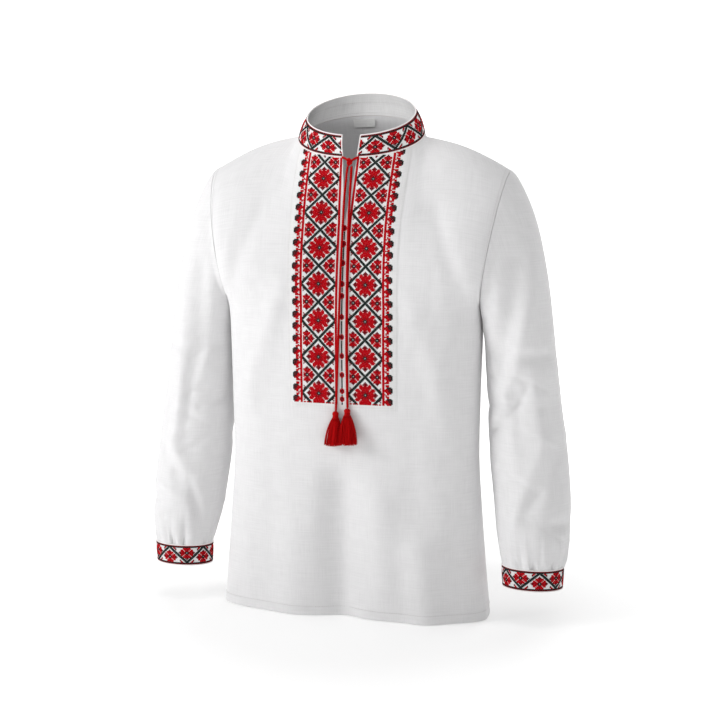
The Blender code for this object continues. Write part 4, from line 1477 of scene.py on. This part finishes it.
def stitch_mesh(name, cells, skins):
    """Two crossing threads in each cell, the second over the first, each a low rounded ridge."""
    verts, faces, threads = [], [], []
    for corners, thread in cells:
        low_left, low_right, high_left, high_right = corners
        normal = (low_right - low_left).cross(high_left - low_left).normalized()
        legs = ((low_right, high_left, 0.00030, 0.00042), (low_left, high_right, 0.00032, 0.00072))
        for start, end, low_rise, high_rise in legs:
            run = end - start
            side = run.cross(normal).normalized() * STITCH_HALF_WIDTH
            first = len(verts)
            for part, rise in ((0.03, low_rise), (0.5, high_rise), (0.97, low_rise)):
                at = start + run * part
                verts += [at + side, at + normal * rise, at - side]
            for base in (first, first + 3):
                faces.append((base, base + 1, base + 4, base + 3))
                faces.append((base + 1, base + 2, base + 5, base + 4))
                threads += [thread, thread]
    mesh = tube_mesh(name, verts, faces)
    made = keep(name, mesh, skins[RED], "embroidered_linen")
    mesh.materials.append(skins[BURGUNDY])
    mesh.materials.append(skins[DARK])
    mesh.polygons.foreach_set("material_index", threads)
    mesh.update()
    return made


# Seams, hems and piping
def seam_row(verts, faces, points, normals, length=0.0023, gap=0.0010, radius=0.00026):
    """A row of short machine stitches along points that lie on the cloth."""
    travelled = lengths_along(points)
    at, piece = 0.0, 0
    while at + length < travelled[-1]:
        ends = []
        for where in (at, at + length / 2, at + length):
            while piece < len(points) - 2 and travelled[piece + 1] < where:
                piece += 1
            run = travelled[piece + 1] - travelled[piece]
            share = (where - travelled[piece]) / run if run else 0.0
            ends.append(points[piece].lerp(points[piece + 1], share)
                        + normals[piece] * (0.00024 if len(ends) == 1 else 0.00004))
        add_tube(verts, faces, ends, [radius * 0.7, radius, radius * 0.7], 5)
        at += length + gap


def body_line(side, places, lift=0.0):
    points, normals = [], []
    for t, row in places:
        normal = body_normal(side, t, row)
        points.append(body_point(side, t, row) + normal * lift)
        normals.append(normal)
    return points, normals


def add_seams(skin):
    verts, faces = [], []
    hem_row = YOKE_ROWS + PANEL_ROWS + LOWER_ROWS - 0.03
    for side in (FRONT, BACK):
        for way in (-1, 1):
            hem = [(way * i / 90, hem_row) for i in range(1, 89)]
            seam_row(verts, faces, *body_line(side, hem), gap=0.0006, radius=0.00045)
            armhole = [(way * 0.972, 0.25 + 8.4 * i / 60) for i in range(61)]
            seam_row(verts, faces, *body_line(side, armhole), radius=0.00035)
    for part in (0.12, 0.60):
        line = [collar_point(part, i / 200) for i in range(201)]
        turned = [(Vector((0.0, NECK_Y, point.z)) - point).normalized() for point in line]
        inside = [point + aim * 0.0015 for point, aim in zip(line, turned)]
        seam_row(verts, faces, inside, turned, radius=0.00040)
    for way in (-1, 1):
        shoulder = [(way * (0.45 + 0.5 * i / 40), 0.16) for i in range(41)]
        seam_row(verts, faces, *body_line(BACK, shoulder))
        panel_side = [(way * 0.277, 0.2 + 13.6 * i / 110) for i in range(111)]
        seam_row(verts, faces, *body_line(FRONT, panel_side, panel_lift(0.277)))
        panel_foot = [(way * (0.004 + 0.270 * i / 40), 13.86) for i in range(41)]
        seam_row(verts, faces, *body_line(FRONT, panel_foot, SEAM + PANEL_WALL))
    keep("seam_stitching", tube_mesh("seam_stitching", verts, faces), skin, "linen")


RIM_PIPING, EDGE_PIPING = 0.00105, 0.00095


def add_piping(skin):
    """A narrow rolled edge on the collar's rim and foot, its front edges and both cuffs."""
    verts, faces = [], []
    for part in (0.012, 0.985):
        rim = [collar_point(part, i / 240) for i in range(241)]
        add_tube(verts, faces, rim, RIM_PIPING, 8)
    for t in (0.0, 1.0):
        edge = [collar_point(i / 20, t) for i in range(21)]
        add_tube(verts, faces, edge, EDGE_PIPING, 8)
    for mirror in (-1, 1):
        for part in (0.018, 0.985):
            ring = [cuff_point(mirror, i / CUFF_TURNS, part) for i in range(CUFF_TURNS + 1)]
            add_tube(verts, faces, ring, EDGE_PIPING, 8)
    keep("piping", tube_mesh("piping", verts, faces), skin, "embroidered_linen")


def collar_place(around, up):
    return collar_point(up, 1.0 - around)


def cuff_place(mirror):
    def place(around, up):
        turn = around if mirror < 0 else -around
        return cuff_point(mirror, turn % 1.0, 1.0 - up)
    return place


def embroider(panel, threads):
    tree = face_tree(panel)
    stitch_mesh("stitches_left", panel_stitches(tree, 1), threads)
    stitch_mesh("stitches_right", panel_stitches(tree, -1) + centre_stitches(tree), threads)
    stitch_mesh("stitches_collar", band_stitches(collar_place, 280, 20), threads)
    for name, mirror in (("left", 1), ("right", -1)):
        stitch_mesh("stitches_cuff_" + name, band_stitches(cuff_place(mirror), 160, 0), threads)


def main():
    add_camera()
    linen = woven_skin("linen", (0.72, 0.715, 0.72), (0.79, 0.785, 0.79), 0.00055, 0.12, 0.6)
    ground = woven_skin("embroidery_ground", (0.69, 0.685, 0.685), (0.79, 0.785, 0.785),
                        0.00090, 0.1, 0.6)
    tape = woven_skin("label_tape", (0.85, 0.85, 0.84), (0.92, 0.92, 0.91), 0.00035, 0.1, 0.3)
    red = thread_skin("tie_thread", (0.30, 0.001, 0.002), (0.52, 0.003, 0.004))
    front = body_panel("front", FRONT, linen)
    tree = face_tree(front)
    for side in ("left", "right"):
        tie(side, tree, red, tassel(side, tree, red))
    knot(red)
    back = body_panel("back", BACK, linen)
    panel = embroidered_panel(ground)
    for side, mirror in (("left", 1), ("right", -1)):
        sleeve("sleeve_" + side, mirror, linen)
        cuff("cuff_" + side, mirror, ground)
    collar(ground)
    label(tape)
    embroider(panel, (thread_skin("red_stitch", (0.33, 0.002, 0.005), (0.56, 0.005, 0.012)),
                      thread_skin("burgundy_stitch", (0.10, 0.004, 0.008), (0.20, 0.008, 0.014)),
                      thread_skin("dark_stitch", (0.008, 0.014, 0.013), (0.024, 0.036, 0.034))))
    white = thread_skin("white_thread", (0.60, 0.59, 0.59), (0.76, 0.75, 0.75))
    add_seams(white)
    add_piping(woven_skin("piping_cloth", (0.78, 0.72, 0.71), (0.88, 0.85, 0.84), 0.0005, 0.1, 0.4))
    add_floor()
    add_lights()
    add_world()


main()
